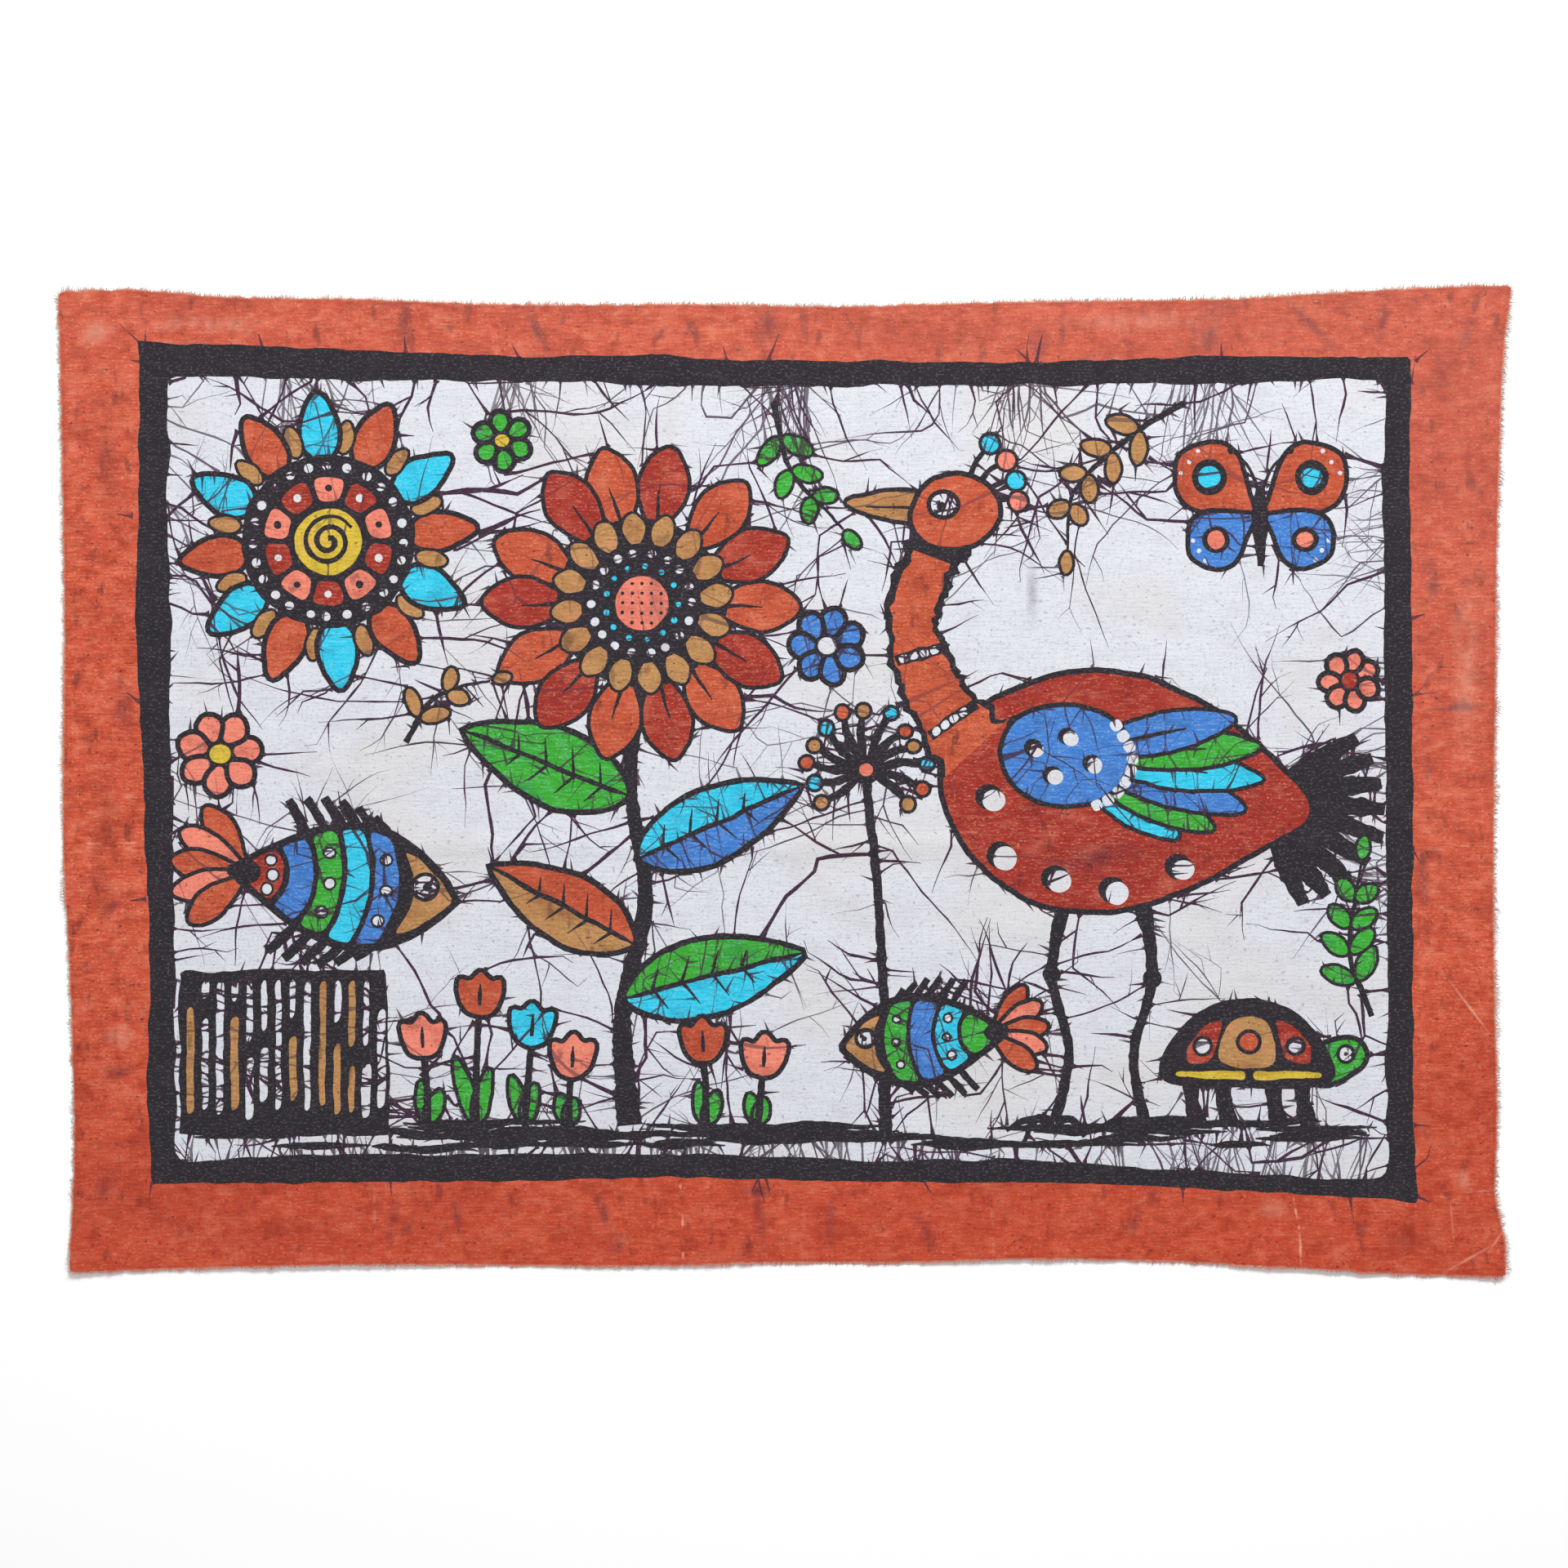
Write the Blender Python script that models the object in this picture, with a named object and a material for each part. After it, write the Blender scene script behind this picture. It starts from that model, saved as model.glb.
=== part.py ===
"""A batik cloth: one panel of dyed cotton with four raw edges, lying face up on a flat surface.

Blender 4.5. X runs across the cloth, Y up its picture and Z out of its face. The origin is on the resting
surface, under the middle of the panel. Sizes are in millimetres and become metres in the mesh.
"""

import math
from collections import namedtuple

import bmesh
import bpy

MM = 0.001

# The panel as it was ruled before it was cut by hand
CLOTH_WIDTH = 750.0
CLOTH_HEIGHT = 500.0
THICKNESS = 1.0

# How far a corner point is drawn in where the hand-cut corner has worn round
CORNER_WEAR = 1.6

# The raw edges bow in between the corners, where the dye baths drew the cotton up. Each row gives the share
# of the way along the edge, from its left or lower end, and how far outside the ruled line the edge lies.
EdgePoint = namedtuple("EdgePoint", "along out")
EDGES = {
    "top": (
        EdgePoint(0.00, 3.3),
        EdgePoint(0.05, 4.1),
        EdgePoint(0.12, 0.3),
        EdgePoint(0.20, -0.9),
        EdgePoint(0.30, -3.5),
        EdgePoint(0.46, -3.5),
        EdgePoint(0.53, -4.7),
        EdgePoint(0.66, -2.2),
        EdgePoint(0.81, -0.5),
        EdgePoint(0.89, 2.9),
        EdgePoint(0.96, 5.8),
        EdgePoint(1.00, 6.3),
    ),
    "bottom": (
        EdgePoint(0.00, 4.1),
        EdgePoint(0.10, 1.6),
        EdgePoint(0.20, 0.0),
        EdgePoint(0.40, 0.7),
        EdgePoint(0.48, -0.9),
        EdgePoint(0.57, -0.9),
        EdgePoint(0.67, -3.0),
        EdgePoint(0.74, -2.2),
        EdgePoint(0.85, 1.6),
        EdgePoint(0.94, 5.4),
        EdgePoint(1.00, 6.3),
    ),
    "left": (
        EdgePoint(0.00, -5.3),
        EdgePoint(0.13, -7.4),
        EdgePoint(0.30, -5.3),
        EdgePoint(0.44, -1.9),
        EdgePoint(0.68, -2.4),
        EdgePoint(0.84, -1.1),
        EdgePoint(1.00, 1.0),
    ),
    "right": (
        EdgePoint(0.00, -2.3),
        EdgePoint(0.04, -3.2),
        EdgePoint(0.08, -7.4),
        EdgePoint(0.15, -6.6),
        EdgePoint(0.31, -8.3),
        EdgePoint(0.69, -7.0),
        EdgePoint(0.83, -5.3),
        EdgePoint(0.94, -2.8),
        EdgePoint(1.00, 1.0),
    ),
}

# Stretches of the edges that stand off the surface: where each starts and ends along its edge, its height at
# the edge and how far in it reaches
Lift = namedtuple("Lift", "side start end height reach")
LIFTS = (
    Lift("bottom", 0.00, 0.34, 2.6, 42.0),
    Lift("bottom", 0.26, 0.58, 1.5, 26.0),
    Lift("bottom", 0.52, 0.80, 2.0, 30.0),
    Lift("bottom", 0.74, 0.99, 2.4, 34.0),
    Lift("top", 0.10, 0.38, 1.4, 24.0),
    Lift("top", 0.46, 0.70, 1.0, 20.0),
    Lift("top", 0.78, 0.97, 1.6, 26.0),
    Lift("left", 0.26, 0.58, 1.2, 22.0),
    Lift("left", 0.60, 0.88, 0.9, 18.0),
    Lift("right", 0.12, 0.40, 1.7, 26.0),
    Lift("right", 0.48, 0.74, 1.0, 20.0),
)

# Corners that curl up: the corner's place across and up, as 0 or 1, its height and how far in it reaches
Curl = namedtuple("Curl", "across up height reach")
CURLS = (
    Curl(0, 0, 3.6, 62.0),
    Curl(1, 0, 3.0, 48.0),
    Curl(1, 1, 1.6, 40.0),
    Curl(0, 1, 1.0, 34.0),
)

# Ridges left where the cloth was kept folded in a stack: the way each runs, its share across or up the
# cloth, the shares between which it shows, and its height
Fold = namedtuple("Fold", "runs at start end height")
FOLDS = (
    Fold("up", 0.212, 0.00, 0.96, 0.7),
    Fold("up", 0.427, 0.00, 1.00, 1.0),
    Fold("up", 0.643, 0.04, 1.00, 0.6),
    Fold("up", 0.857, 0.00, 0.92, 0.9),
    Fold("across", 0.436, 0.00, 0.94, 0.8),
)
FOLD_HALF_WIDTH = 9.0
FOLD_FADE = 0.06

# The mesh is finest at the raw edges, where the cloth lifts, and along its folds
STEPS_ACROSS = 38
STEPS_UP = 26
EDGE_FINENESS = 0.65
NEAREST_LINES = 3.0

DYED_COTTON = (0.62, 0.098, 0.048, 1.0)


def slope_at(points, i):
    """The slope of an edge's curve at one of its points, from the points on either side of it."""
    before = points[max(i - 1, 0)]
    after = points[min(i + 1, len(points) - 1)]
    return (after.out - before.out) / (after.along - before.along)


def out_at(side, along):
    """How far outside its ruled line an edge lies, on a smooth curve through the edge's points."""
    points = EDGES[side]
    i = max(k for k, point in enumerate(points[:-1]) if point.along <= along)
    start, end = points[i], points[i + 1]
    step = end.along - start.along
    t = (along - start.along) / step
    return (
        start.out * (1 + 2 * t) * (1 - t) ** 2
        + end.out * (3 - 2 * t) * t**2
        + slope_at(points, i) * step * t * (1 - t) ** 2
        - slope_at(points, i + 1) * step * (1 - t) * t**2
    )


def place(u, v):
    """The point that lies a share u across the cloth and a share v up it."""
    left = -CLOTH_WIDTH / 2 - out_at("left", v)
    right = CLOTH_WIDTH / 2 + out_at("right", v)
    bottom = -CLOTH_HEIGHT / 2 - out_at("bottom", u)
    top = CLOTH_HEIGHT / 2 + out_at("top", u)
    x = left + (right - left) * u
    y = bottom + (top - bottom) * v
    if u in (0, 1) and v in (0, 1):
        x -= math.copysign(CORNER_WEAR, x)
        y -= math.copysign(CORNER_WEAR, y)
    return x, y


def lift_rise(lift, u, v):
    """The height that one lifted stretch of edge gives a point."""
    along = u if lift.side in ("top", "bottom") else v
    inward = {
        "top": (1 - v) * CLOTH_HEIGHT,
        "bottom": v * CLOTH_HEIGHT,
        "left": u * CLOTH_WIDTH,
        "right": (1 - u) * CLOTH_WIDTH,
    }[lift.side]
    if not lift.start < along < lift.end or inward > lift.reach:
        return 0.0
    swell = math.sin(math.pi * (along - lift.start) / (lift.end - lift.start)) ** 2
    return lift.height * swell * (1 - inward / lift.reach) ** 2


def curl_rise(curl, u, v):
    """The height that one curled corner gives a point."""
    distance = math.hypot((u - curl.across) * CLOTH_WIDTH, (v - curl.up) * CLOTH_HEIGHT)
    return curl.height * max(0.0, 1 - distance / curl.reach) ** 2


def smooth_step(share):
    """Rises from 0 to 1 with level ends."""
    share = min(max(share, 0.0), 1.0)
    return share * share * (3 - 2 * share)


def fold_rise(fold, u, v):
    """The height that one fold's ridge gives a point."""
    if fold.runs == "up":
        distance, along = abs(u - fold.at) * CLOTH_WIDTH, v
    else:
        distance, along = abs(v - fold.at) * CLOTH_HEIGHT, u
    if distance >= FOLD_HALF_WIDTH:
        return 0.0
    fade = smooth_step((along - fold.start) / FOLD_FADE) * smooth_step((fold.end - along) / FOLD_FADE)
    return fold.height * fade * (1 + math.cos(math.pi * distance / FOLD_HALF_WIDTH)) / 2


def rise(u, v):
    """How far the underside stands off the surface: nothing at all where the cloth lies flat."""
    return (
        sum(lift_rise(lift, u, v) for lift in LIFTS)
        + sum(curl_rise(curl, u, v) for curl in CURLS)
        + max(fold_rise(fold, u, v) for fold in FOLDS)
    )


def mesh_lines(steps, length, runs):
    """The shares at which mesh lines cross the cloth, with five lines on each fold that runs this way."""
    on_folds = [
        fold.at + offset * FOLD_HALF_WIDTH / length
        for fold in FOLDS
        if fold.runs == runs
        for offset in (-1, -0.5, 0, 0.5, 1)
    ]
    shares = [step / steps for step in range(steps + 1)]
    even = [share - EDGE_FINENESS * math.sin(math.tau * share) / math.tau for share in shares]
    clear = [line for line in even if all(abs(line - near) * length > NEAREST_LINES for near in on_folds)]
    return sorted(clear + on_folds)


def dyed_cotton():
    """Plain-woven cotton, dyed through and quite matt."""
    material = bpy.data.materials.new("dyed_cotton")
    material.use_nodes = True
    shader = material.node_tree.nodes["Principled BSDF"]
    shader.inputs["Base Color"].default_value = DYED_COTTON
    shader.inputs["Roughness"].default_value = 0.9
    return material


def make_cloth():
    """The underside as one bent grid, which Solidify thickens upwards."""
    columns = mesh_lines(STEPS_ACROSS, CLOTH_WIDTH, "up")
    rows = mesh_lines(STEPS_UP, CLOTH_HEIGHT, "across")
    bm = bmesh.new()
    grid = []
    for v in rows:
        points = [(*place(u, v), rise(u, v)) for u in columns]
        grid.append([bm.verts.new([size * MM for size in point]) for point in points])
    for lower, upper in zip(grid, grid[1:]):
        for corners in zip(lower, lower[1:], upper[1:], upper):
            bm.faces.new(corners)
    mesh = bpy.data.meshes.new("cloth")
    bm.to_mesh(mesh)
    bm.free()
    mesh.shade_smooth()

    cloth = bpy.data.objects.new("cloth", mesh)
    bpy.context.scene.collection.objects.link(cloth)
    cloth.data.materials.append(dyed_cotton())
    solidify = cloth.modifiers.new("thickness", "SOLIDIFY")
    solidify.thickness = THICKNESS * MM
    solidify.offset = 1.0
    return cloth


for thing in list(bpy.data.objects):
    bpy.data.objects.remove(thing)
make_cloth()
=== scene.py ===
import math
import random
from collections import namedtuple

import bpy
import numpy as np
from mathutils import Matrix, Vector, noise
from mathutils.geometry import delaunay_2d_cdt


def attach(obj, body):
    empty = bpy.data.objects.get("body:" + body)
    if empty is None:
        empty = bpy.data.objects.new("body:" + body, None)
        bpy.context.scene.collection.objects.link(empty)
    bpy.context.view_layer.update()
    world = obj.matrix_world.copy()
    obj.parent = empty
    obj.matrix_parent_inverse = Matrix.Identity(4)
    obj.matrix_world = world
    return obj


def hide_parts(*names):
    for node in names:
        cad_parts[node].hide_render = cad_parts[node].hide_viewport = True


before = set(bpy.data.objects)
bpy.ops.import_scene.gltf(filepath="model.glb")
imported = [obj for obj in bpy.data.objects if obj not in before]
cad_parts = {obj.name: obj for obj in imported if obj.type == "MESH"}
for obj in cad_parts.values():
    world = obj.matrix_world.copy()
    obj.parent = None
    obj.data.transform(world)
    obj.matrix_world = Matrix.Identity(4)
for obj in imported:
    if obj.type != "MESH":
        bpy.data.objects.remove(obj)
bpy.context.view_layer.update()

# The cotton panel: plain-woven cotton, cut by hand from a longer length and left with four raw edges. The dye
# baths drew it up, so its edges bow in between the corners. It was kept folded in a stack, which left low
# ridges, and its raw edges and corners stand a little off the surface. Sizes and places are in millimetres.

MM = 0.001
CLOTH_WIDTH = 750.0
CLOTH_HEIGHT = 500.0
COTTON_THICKNESS = 0.7
UNDERSIDE_GAP = 0.15
CORNER_WEAR = 9
FRAY_DEPTH = 0.9

# The share of the way along an edge, from its left or lower end, and how far outside its ruled line it lies
EDGES = {
    "top": (
        (0.00, 3.3), (0.05, 4.1), (0.12, 0.3), (0.20, -0.9), (0.30, -3.5), (0.46, -3.5),
        (0.53, -4.7), (0.66, -2.2), (0.81, -0.5), (0.89, 2.9), (0.96, 5.8), (1.00, 6.3),
    ),
    "bottom": (
        (0.00, 4.1), (0.10, 1.6), (0.20, 0.0), (0.40, 0.7), (0.48, -0.9), (0.57, -0.9),
        (0.67, -3.0), (0.74, -2.2), (0.85, 1.6), (0.94, 5.4), (1.00, 6.3),
    ),
    "left": (
        (0.00, -5.3), (0.13, -7.4), (0.30, -5.3), (0.44, -1.9), (0.68, -2.4), (0.84, -1.1), (1.00, 1.0),
    ),
    "right": (
        (0.00, -2.3), (0.04, -3.2), (0.08, -7.4), (0.15, -6.6), (0.31, -8.3), (0.69, -7.0),
        (0.83, -5.3), (0.94, -2.8), (1.00, 1.0),
    ),
}

Lift = namedtuple("Lift", "side start end height reach")
LIFTS = (
    Lift("bottom", 0.00, 0.34, 2.6, 42.0),
    Lift("bottom", 0.26, 0.58, 1.5, 26.0),
    Lift("bottom", 0.52, 0.80, 2.0, 30.0),
    Lift("bottom", 0.74, 0.99, 2.4, 34.0),
    Lift("top", 0.10, 0.38, 1.4, 24.0),
    Lift("top", 0.46, 0.70, 1.0, 20.0),
    Lift("top", 0.78, 0.97, 1.6, 26.0),
    Lift("left", 0.26, 0.58, 1.2, 22.0),
    Lift("left", 0.60, 0.88, 0.9, 18.0),
    Lift("right", 0.12, 0.40, 1.7, 26.0),
    Lift("right", 0.48, 0.74, 1.0, 20.0),
)

Curl = namedtuple("Curl", "across up height reach")
CURLS = (
    Curl(0, 0, 3.6, 62.0),
    Curl(1, 0, 3.0, 48.0),
    Curl(1, 1, 1.6, 40.0),
    Curl(0, 1, 1.0, 34.0),
)

# Where a fold ran, how high its ridge is, and how far its dye is rubbed off where it crosses the border
Fold = namedtuple("Fold", "runs at start end height worn")
FOLDS = (
    Fold("up", 0.212, 0.00, 0.96, 0.7, 0.15),
    Fold("up", 0.427, 0.00, 1.00, 1.0, 0.60),
    Fold("up", 0.643, 0.04, 1.00, 0.6, 0.10),
    Fold("up", 0.857, 0.00, 0.92, 0.9, 0.65),
    Fold("across", 0.436, 0.00, 0.94, 0.8, 0.45),
)
FOLD_HALF_WIDTH = 9.0
FOLD_FADE = 0.06


def smooth_step(share):
    """Rises from 0 to 1 with level ends."""
    share = np.clip(share, 0.0, 1.0)
    return share * share * (3 - 2 * share)


def out_at(side, along):
    """How far outside its ruled line an edge lies, on a smooth curve through the edge's points."""
    at, out = np.array(EDGES[side]).T
    before = np.maximum(np.arange(len(at)) - 1, 0)
    after = np.minimum(np.arange(len(at)) + 1, len(at) - 1)
    slope = (out[after] - out[before]) / (at[after] - at[before])
    i = np.clip(np.searchsorted(at, along, side="right") - 1, 0, len(at) - 2)
    step = at[i + 1] - at[i]
    t = (along - at[i]) / step
    return (
        out[i] * (1 + 2 * t) * (1 - t) ** 2
        + out[i + 1] * (3 - 2 * t) * t**2
        + slope[i] * step * t * (1 - t) ** 2
        - slope[i + 1] * step * (1 - t) * t**2
    )


def sides_at(u, v):
    """The left, right, bottom and top edges' places, level with shares up and across the cloth."""
    return (
        -CLOTH_WIDTH / 2 - out_at("left", v),
        CLOTH_WIDTH / 2 + out_at("right", v),
        -CLOTH_HEIGHT / 2 - out_at("bottom", u),
        CLOTH_HEIGHT / 2 + out_at("top", u),
    )


def shares_of(points):
    """The shares across and up the cloth at which points of its plane lie."""
    x, y = points.T
    u, v = x / CLOTH_WIDTH + 0.5, y / CLOTH_HEIGHT + 0.5
    for _ in range(3):
        left, right, bottom, top = sides_at(np.clip(u, 0, 1), np.clip(v, 0, 1))
        u, v = (x - left) / (right - left), (y - bottom) / (top - bottom)
    return np.clip(u, 0, 1), np.clip(v, 0, 1)


def lift_rise(lift, u, v):
    """The height that one lifted stretch of edge gives each point."""
    along = u if lift.side in ("top", "bottom") else v
    inward = {
        "top": (1 - v) * CLOTH_HEIGHT,
        "bottom": v * CLOTH_HEIGHT,
        "left": u * CLOTH_WIDTH,
        "right": (1 - u) * CLOTH_WIDTH,
    }[lift.side]
    share = np.clip((along - lift.start) / (lift.end - lift.start), 0, 1)
    return lift.height * np.sin(math.pi * share) ** 2 * np.maximum(0, 1 - inward / lift.reach) ** 2


def curl_rise(curl, u, v):
    """The height that one curled corner gives each point."""
    distance = np.hypot((u - curl.across) * CLOTH_WIDTH, (v - curl.up) * CLOTH_HEIGHT)
    return curl.height * np.maximum(0, 1 - distance / curl.reach) ** 2


def fold_rise(fold, u, v):
    """The height that one fold's ridge gives each point."""
    if fold.runs == "up":
        distance, along = abs(u - fold.at) * CLOTH_WIDTH, v
    else:
        distance, along = abs(v - fold.at) * CLOTH_HEIGHT, u
    fade = smooth_step((along - fold.start) / FOLD_FADE) * smooth_step((fold.end - along) / FOLD_FADE)
    return fold.height * fade * (1 + np.cos(math.pi * np.minimum(distance / FOLD_HALF_WIDTH, 1))) / 2


def rise(points):
    """How far the underside stands off the surface at points of the cloth's plane."""
    u, v = shares_of(points)
    return (
        sum(lift_rise(lift, u, v) for lift in LIFTS)
        + sum(curl_rise(curl, u, v) for curl in CURLS)
        + np.max([fold_rise(fold, u, v) for fold in FOLDS], axis=0)
    )


def even(points, spacing, closed=True):
    """The same line with its points evenly spaced."""
    loop = np.vstack([points, points[:1]]) if closed else np.asarray(points, float)
    run = np.concatenate([[0], np.cumsum(np.hypot(*np.diff(loop, axis=0).T))])
    count = max(6 if closed else 2, round(run[-1] / spacing))
    at = np.linspace(0, run[-1], count + (not closed), endpoint=not closed)
    return np.column_stack([np.interp(at, run, loop[:, 0]), np.interp(at, run, loop[:, 1])])


def cut_edge():
    """The panel's outline, anticlockwise from its lower left corner, with worn corners and a rough cut."""
    along = np.linspace(0, 1, 400, endpoint=False)
    zero, one = np.zeros_like(along), np.ones_like(along)
    shares = ((along, zero), (one, along), (1 - along, one), (zero, 1 - along))
    points = []
    for u, v in shares:
        left, right, bottom, top = sides_at(u, v)
        points.append(np.column_stack([left + (right - left) * u, bottom + (top - bottom) * v]))
    points = even(np.vstack(points), 1.6)
    for _ in range(CORNER_WEAR):
        points = (np.roll(points, 1, 0) + 2 * points + np.roll(points, -1, 0)) / 4
    rough = [noise.noise_vector(Vector((x / 3.1, y / 3.1, 0.0))).xy for x, y in points]
    return points + FRAY_DEPTH * np.array(rough)


# The waxed ground: the middle of the panel was painted with hot wax wherever it was to stay white, and a
# black bath dyed what was left bare. The wax brush leaves a little unsteady, round-cornered outlines.

SEED = 4
rng = random.Random(SEED)
noise.seed_set(SEED)

DYES = {
    "terracotta": "#D3573C",
    "black": "#2B272C",
    "white": "#DEE0E7",
    "blue": "#4580D0",
    "cyan": "#32CBEC",
    "green": "#3CAB2F",
    "ochre": "#B98B57",
    "salmon": "#F18874",
    "orange": "#C5573A",
    "brick": "#A5342B",
    "yellow": "#D9BE3C",
}
DYE_NAMES = list(DYES)

WAX_LINE = 2.8
BRUSH_STEP = 2.2

FRAME_OUTER = (
    (-334, 227), (-250, 224), (-137, 219.5), (-60, 220.5), (-46, 218), (125, 216.5), (221, 219.5), (324, 219),
    (323, 161), (324, 84), (325, -94), (325, -178), (327.5, -218), (293, -215), (210, -210.5), (142, -208),
    (24, -207), (-61, -204.5), (-136, -207), (-209, -207), (-269, -208), (-327, -208), (-330, -153),
    (-328, -102), (-330, -42), (-332, 11), (-333.5, 41), (-336, 87), (-334, 142),
)
GROUND = (
    (-318, 210), (-244, 207.5), (-137, 207), (-46, 204.5), (125, 204.5), (221, 205), (311, 208.5),
    (309.5, 161), (309.5, 84), (311.5, -94), (311.5, -205.5), (277, -205.5), (210, -201.5), (126, -195.5),
    (42, -196), (-65, -193), (-128, -193), (-265, -193.5), (-310, -197), (-315, -194), (-315, -166),
    (-315.5, -94), (-315.5, -59), (-317.5, 25), (-318, 91), (-319.5, 148), (-318, 174), (-319.5, 197),
)

GROUND_LINE = -180.0
cells = []


def turned_right(points):
    """The outline run anticlockwise."""
    x, y = points.T
    area = np.sum(x * np.roll(y, -1) - np.roll(x, -1) * y)
    return points if area > 0 else points[::-1]


def rounded(points, passes):
    """The outline with its corners worn round."""
    for _ in range(passes):
        points = (np.roll(points, 1, 0) + 2 * points + np.roll(points, -1, 0)) / 4
    return points


def hand_drawn(points, unsteady):
    """The line as an unsteady brush draws it: a slow sway and a quick one."""
    slow = [noise.noise_vector(Vector((x / 13, y / 13, 5.0))).xy for x, y in points]
    quick = [noise.noise_vector(Vector((x / 3.5, y / 3.5, 9.0))).xy for x, y in points]
    return points + unsteady * (np.array(slow) + 0.5 * np.array(quick))


def grown(points, width):
    """An anticlockwise outline moved outwards by a width."""
    along = np.roll(points, -1, 0) - np.roll(points, 1, 0)
    along /= np.hypot(*along.T)[:, None] + 1e-9
    return points + width * np.column_stack([along[:, 1], -along[:, 0]])


def paint(dye, points):
    """One patch of dye, over all that was painted before."""
    cells.append((DYE_NAMES.index(dye), np.asarray(points, float)))


def wax(dye, points, line=WAX_LINE, passes=3, step=BRUSH_STEP, unsteady=0.8):
    """One dyed cell, with the black line round it that shows between the waxed places."""
    points = turned_right(np.asarray(points, float))
    outline = hand_drawn(rounded(even(points, step), passes), unsteady)
    if line:
        paint("black", grown(outline, line))
    paint(dye, outline)


def smooth(points, step=BRUSH_STEP, closed=True):
    """A smooth curve through the given points."""
    p = np.asarray(points, float)
    if closed:
        p = np.vstack([p[-1:], p, p[:2]])
    else:
        p = np.vstack([2 * p[:1] - p[1:2], p, 2 * p[-1:] - p[-2:-1]])
    t = np.linspace(0, 1, 10, endpoint=False)[:, None]
    parts = [
        b + (c - a) * t / 2 + (2 * a - 5 * b + 4 * c - d) * t**2 / 2 + (3 * b - a - 3 * c + d) * t**3 / 2
        for a, b, c, d in zip(p, p[1:], p[2:], p[3:])
    ]
    if not closed:
        parts.append(p[-2:-1])
    return even(np.vstack(parts), step, closed)


def across(line):
    """The unit vector to the left of an open line at each of its points."""
    along = np.gradient(line, axis=0)
    along /= np.hypot(*along.T)[:, None] + 1e-9
    return np.column_stack([-along[:, 1], along[:, 0]])


def stroke(points, widths, dye="black", step=BRUSH_STEP, unsteady=0.7):
    """One brush stroke along a smooth line, with its widths from end to end."""
    line = smooth(points, step, closed=False)
    line = hand_drawn(line, unsteady)
    run = np.linspace(0, 1, len(line))
    half = np.interp(run, np.linspace(0, 1, len(widths)), widths) / 2
    half *= 1 + 0.25 * np.array([noise.noise(Vector((x / 4, y / 4, 2.0))) for x, y in line])
    side = across(line) * half[:, None]
    paint(dye, np.vstack([line - side, (line + side)[::-1]]))


def oval(x, y, long, short, turn=0.0, step=BRUSH_STEP):
    """An oval's outline, from its half lengths and how far it is turned, in degrees."""
    count = max(9, round(math.pi * (long + short) / step))
    angle = np.arange(count) * math.tau / count
    return placed(np.column_stack([long * np.cos(angle), short * np.sin(angle)]), x, y, turn)


def placed(points, x, y, turn=0.0, size=1.0, flip=1):
    """Points drawn about the origin, moved to their place on the cloth."""
    points = np.asarray(points, float) * [size * flip, size]
    c, s = math.cos(math.radians(turn)), math.sin(math.radians(turn))
    return points @ np.array([[c, s], [-s, c]]) + [x, y]


paint("terracotta", grown(cut_edge(), 3.0))
paint("black", hand_drawn(even(FRAME_OUTER, 4.0), 1.0))
wax("white", hand_drawn(even(GROUND, 4.0), 0.9), line=0, passes=2, step=4.0)


# The sun: rings of wax dabs about a spiral, with long and short rays. Each ray and ring was waxed after its
# own dye bath, so that the next dye kept off it.

def sector(x, y, inner, outer, start, end):
    """A piece of a ring, between two angles in degrees."""
    angles = np.radians(np.linspace(start, end, max(3, round(abs(end - start) / 12) + 2)))
    spokes = np.column_stack([np.cos(angles), np.sin(angles)])
    return np.vstack([spokes * outer, spokes[::-1] * inner]) + [x, y]


def dot(dye, x, y, radius, line=0):
    """One round dab of wax."""
    wax(dye, oval(x, y, radius, radius * rng.uniform(0.85, 1.1)), line, passes=1, step=1.7, unsteady=0.4)


def ring_of_dabs(x, y, radius, dab, count, dye="white"):
    """A ring of small dabs of wax."""
    for i in range(count):
        px, py = placed([(radius, 0)], x, y, 360 * i / count + rng.uniform(-2, 2))[0]
        dot(dye, px, py, dab)


def petal(length, width, widest=0.5):
    """A petal or leaf along +X from the origin, with its widest place as a share of its length."""
    share = np.linspace(0, 1, 17)
    bend = math.log(0.5) / math.log(widest)
    half = np.sin(math.pi * share**bend) ** 0.85 * width / 2
    edge = np.column_stack([share * length, half])
    return np.vstack([edge, (edge * [1, -1])[::-1]])


def spiral(x, y, radius, turns, width, start=0.0, dye="black"):
    """A brushed spiral that winds in to its middle."""
    share = np.linspace(0, 1, round(turns * 10) + 1)
    angle = math.radians(start) + share * turns * math.tau
    reach = radius * (1 - 0.88 * share)
    line = np.column_stack([x + reach * np.cos(angle), y + reach * np.sin(angle)])
    stroke(line, (width * 0.6, width, width, width * 1.2), dye, unsteady=0.3)


SUN = (-236, 124)
SUN_RAYS = 12
for i in range(SUN_RAYS):
    turn = 360 * i / SUN_RAYS + 6 + rng.uniform(-2, 2)
    wax(("orange", "cyan")[i % 2], placed(petal(36, 19, 0.36), *placed([(42, 0)], *SUN, turn)[0], turn))
    turn += 180 / SUN_RAYS
    wax("ochre", placed(petal(19, 8.5, 0.45), *placed([(45, 0)], *SUN, turn)[0], turn), line=1.6)
paint("black", hand_drawn(oval(*SUN, 45, 45), 0.9))
ring_of_dabs(*SUN, 39, 2.7, 24)
for i in range(10):
    wax(("salmon", "brick")[i % 2], sector(*SUN, 21, 33.5, 36 * i + 3, 36 * i + 33), line=0)
    dot(("black", "white")[i % 2], *placed([(27.5, 0)], *SUN, 36 * i + 18)[0], 2.4)
wax("yellow", oval(*SUN, 17.5, 17.5), line=0)
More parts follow.
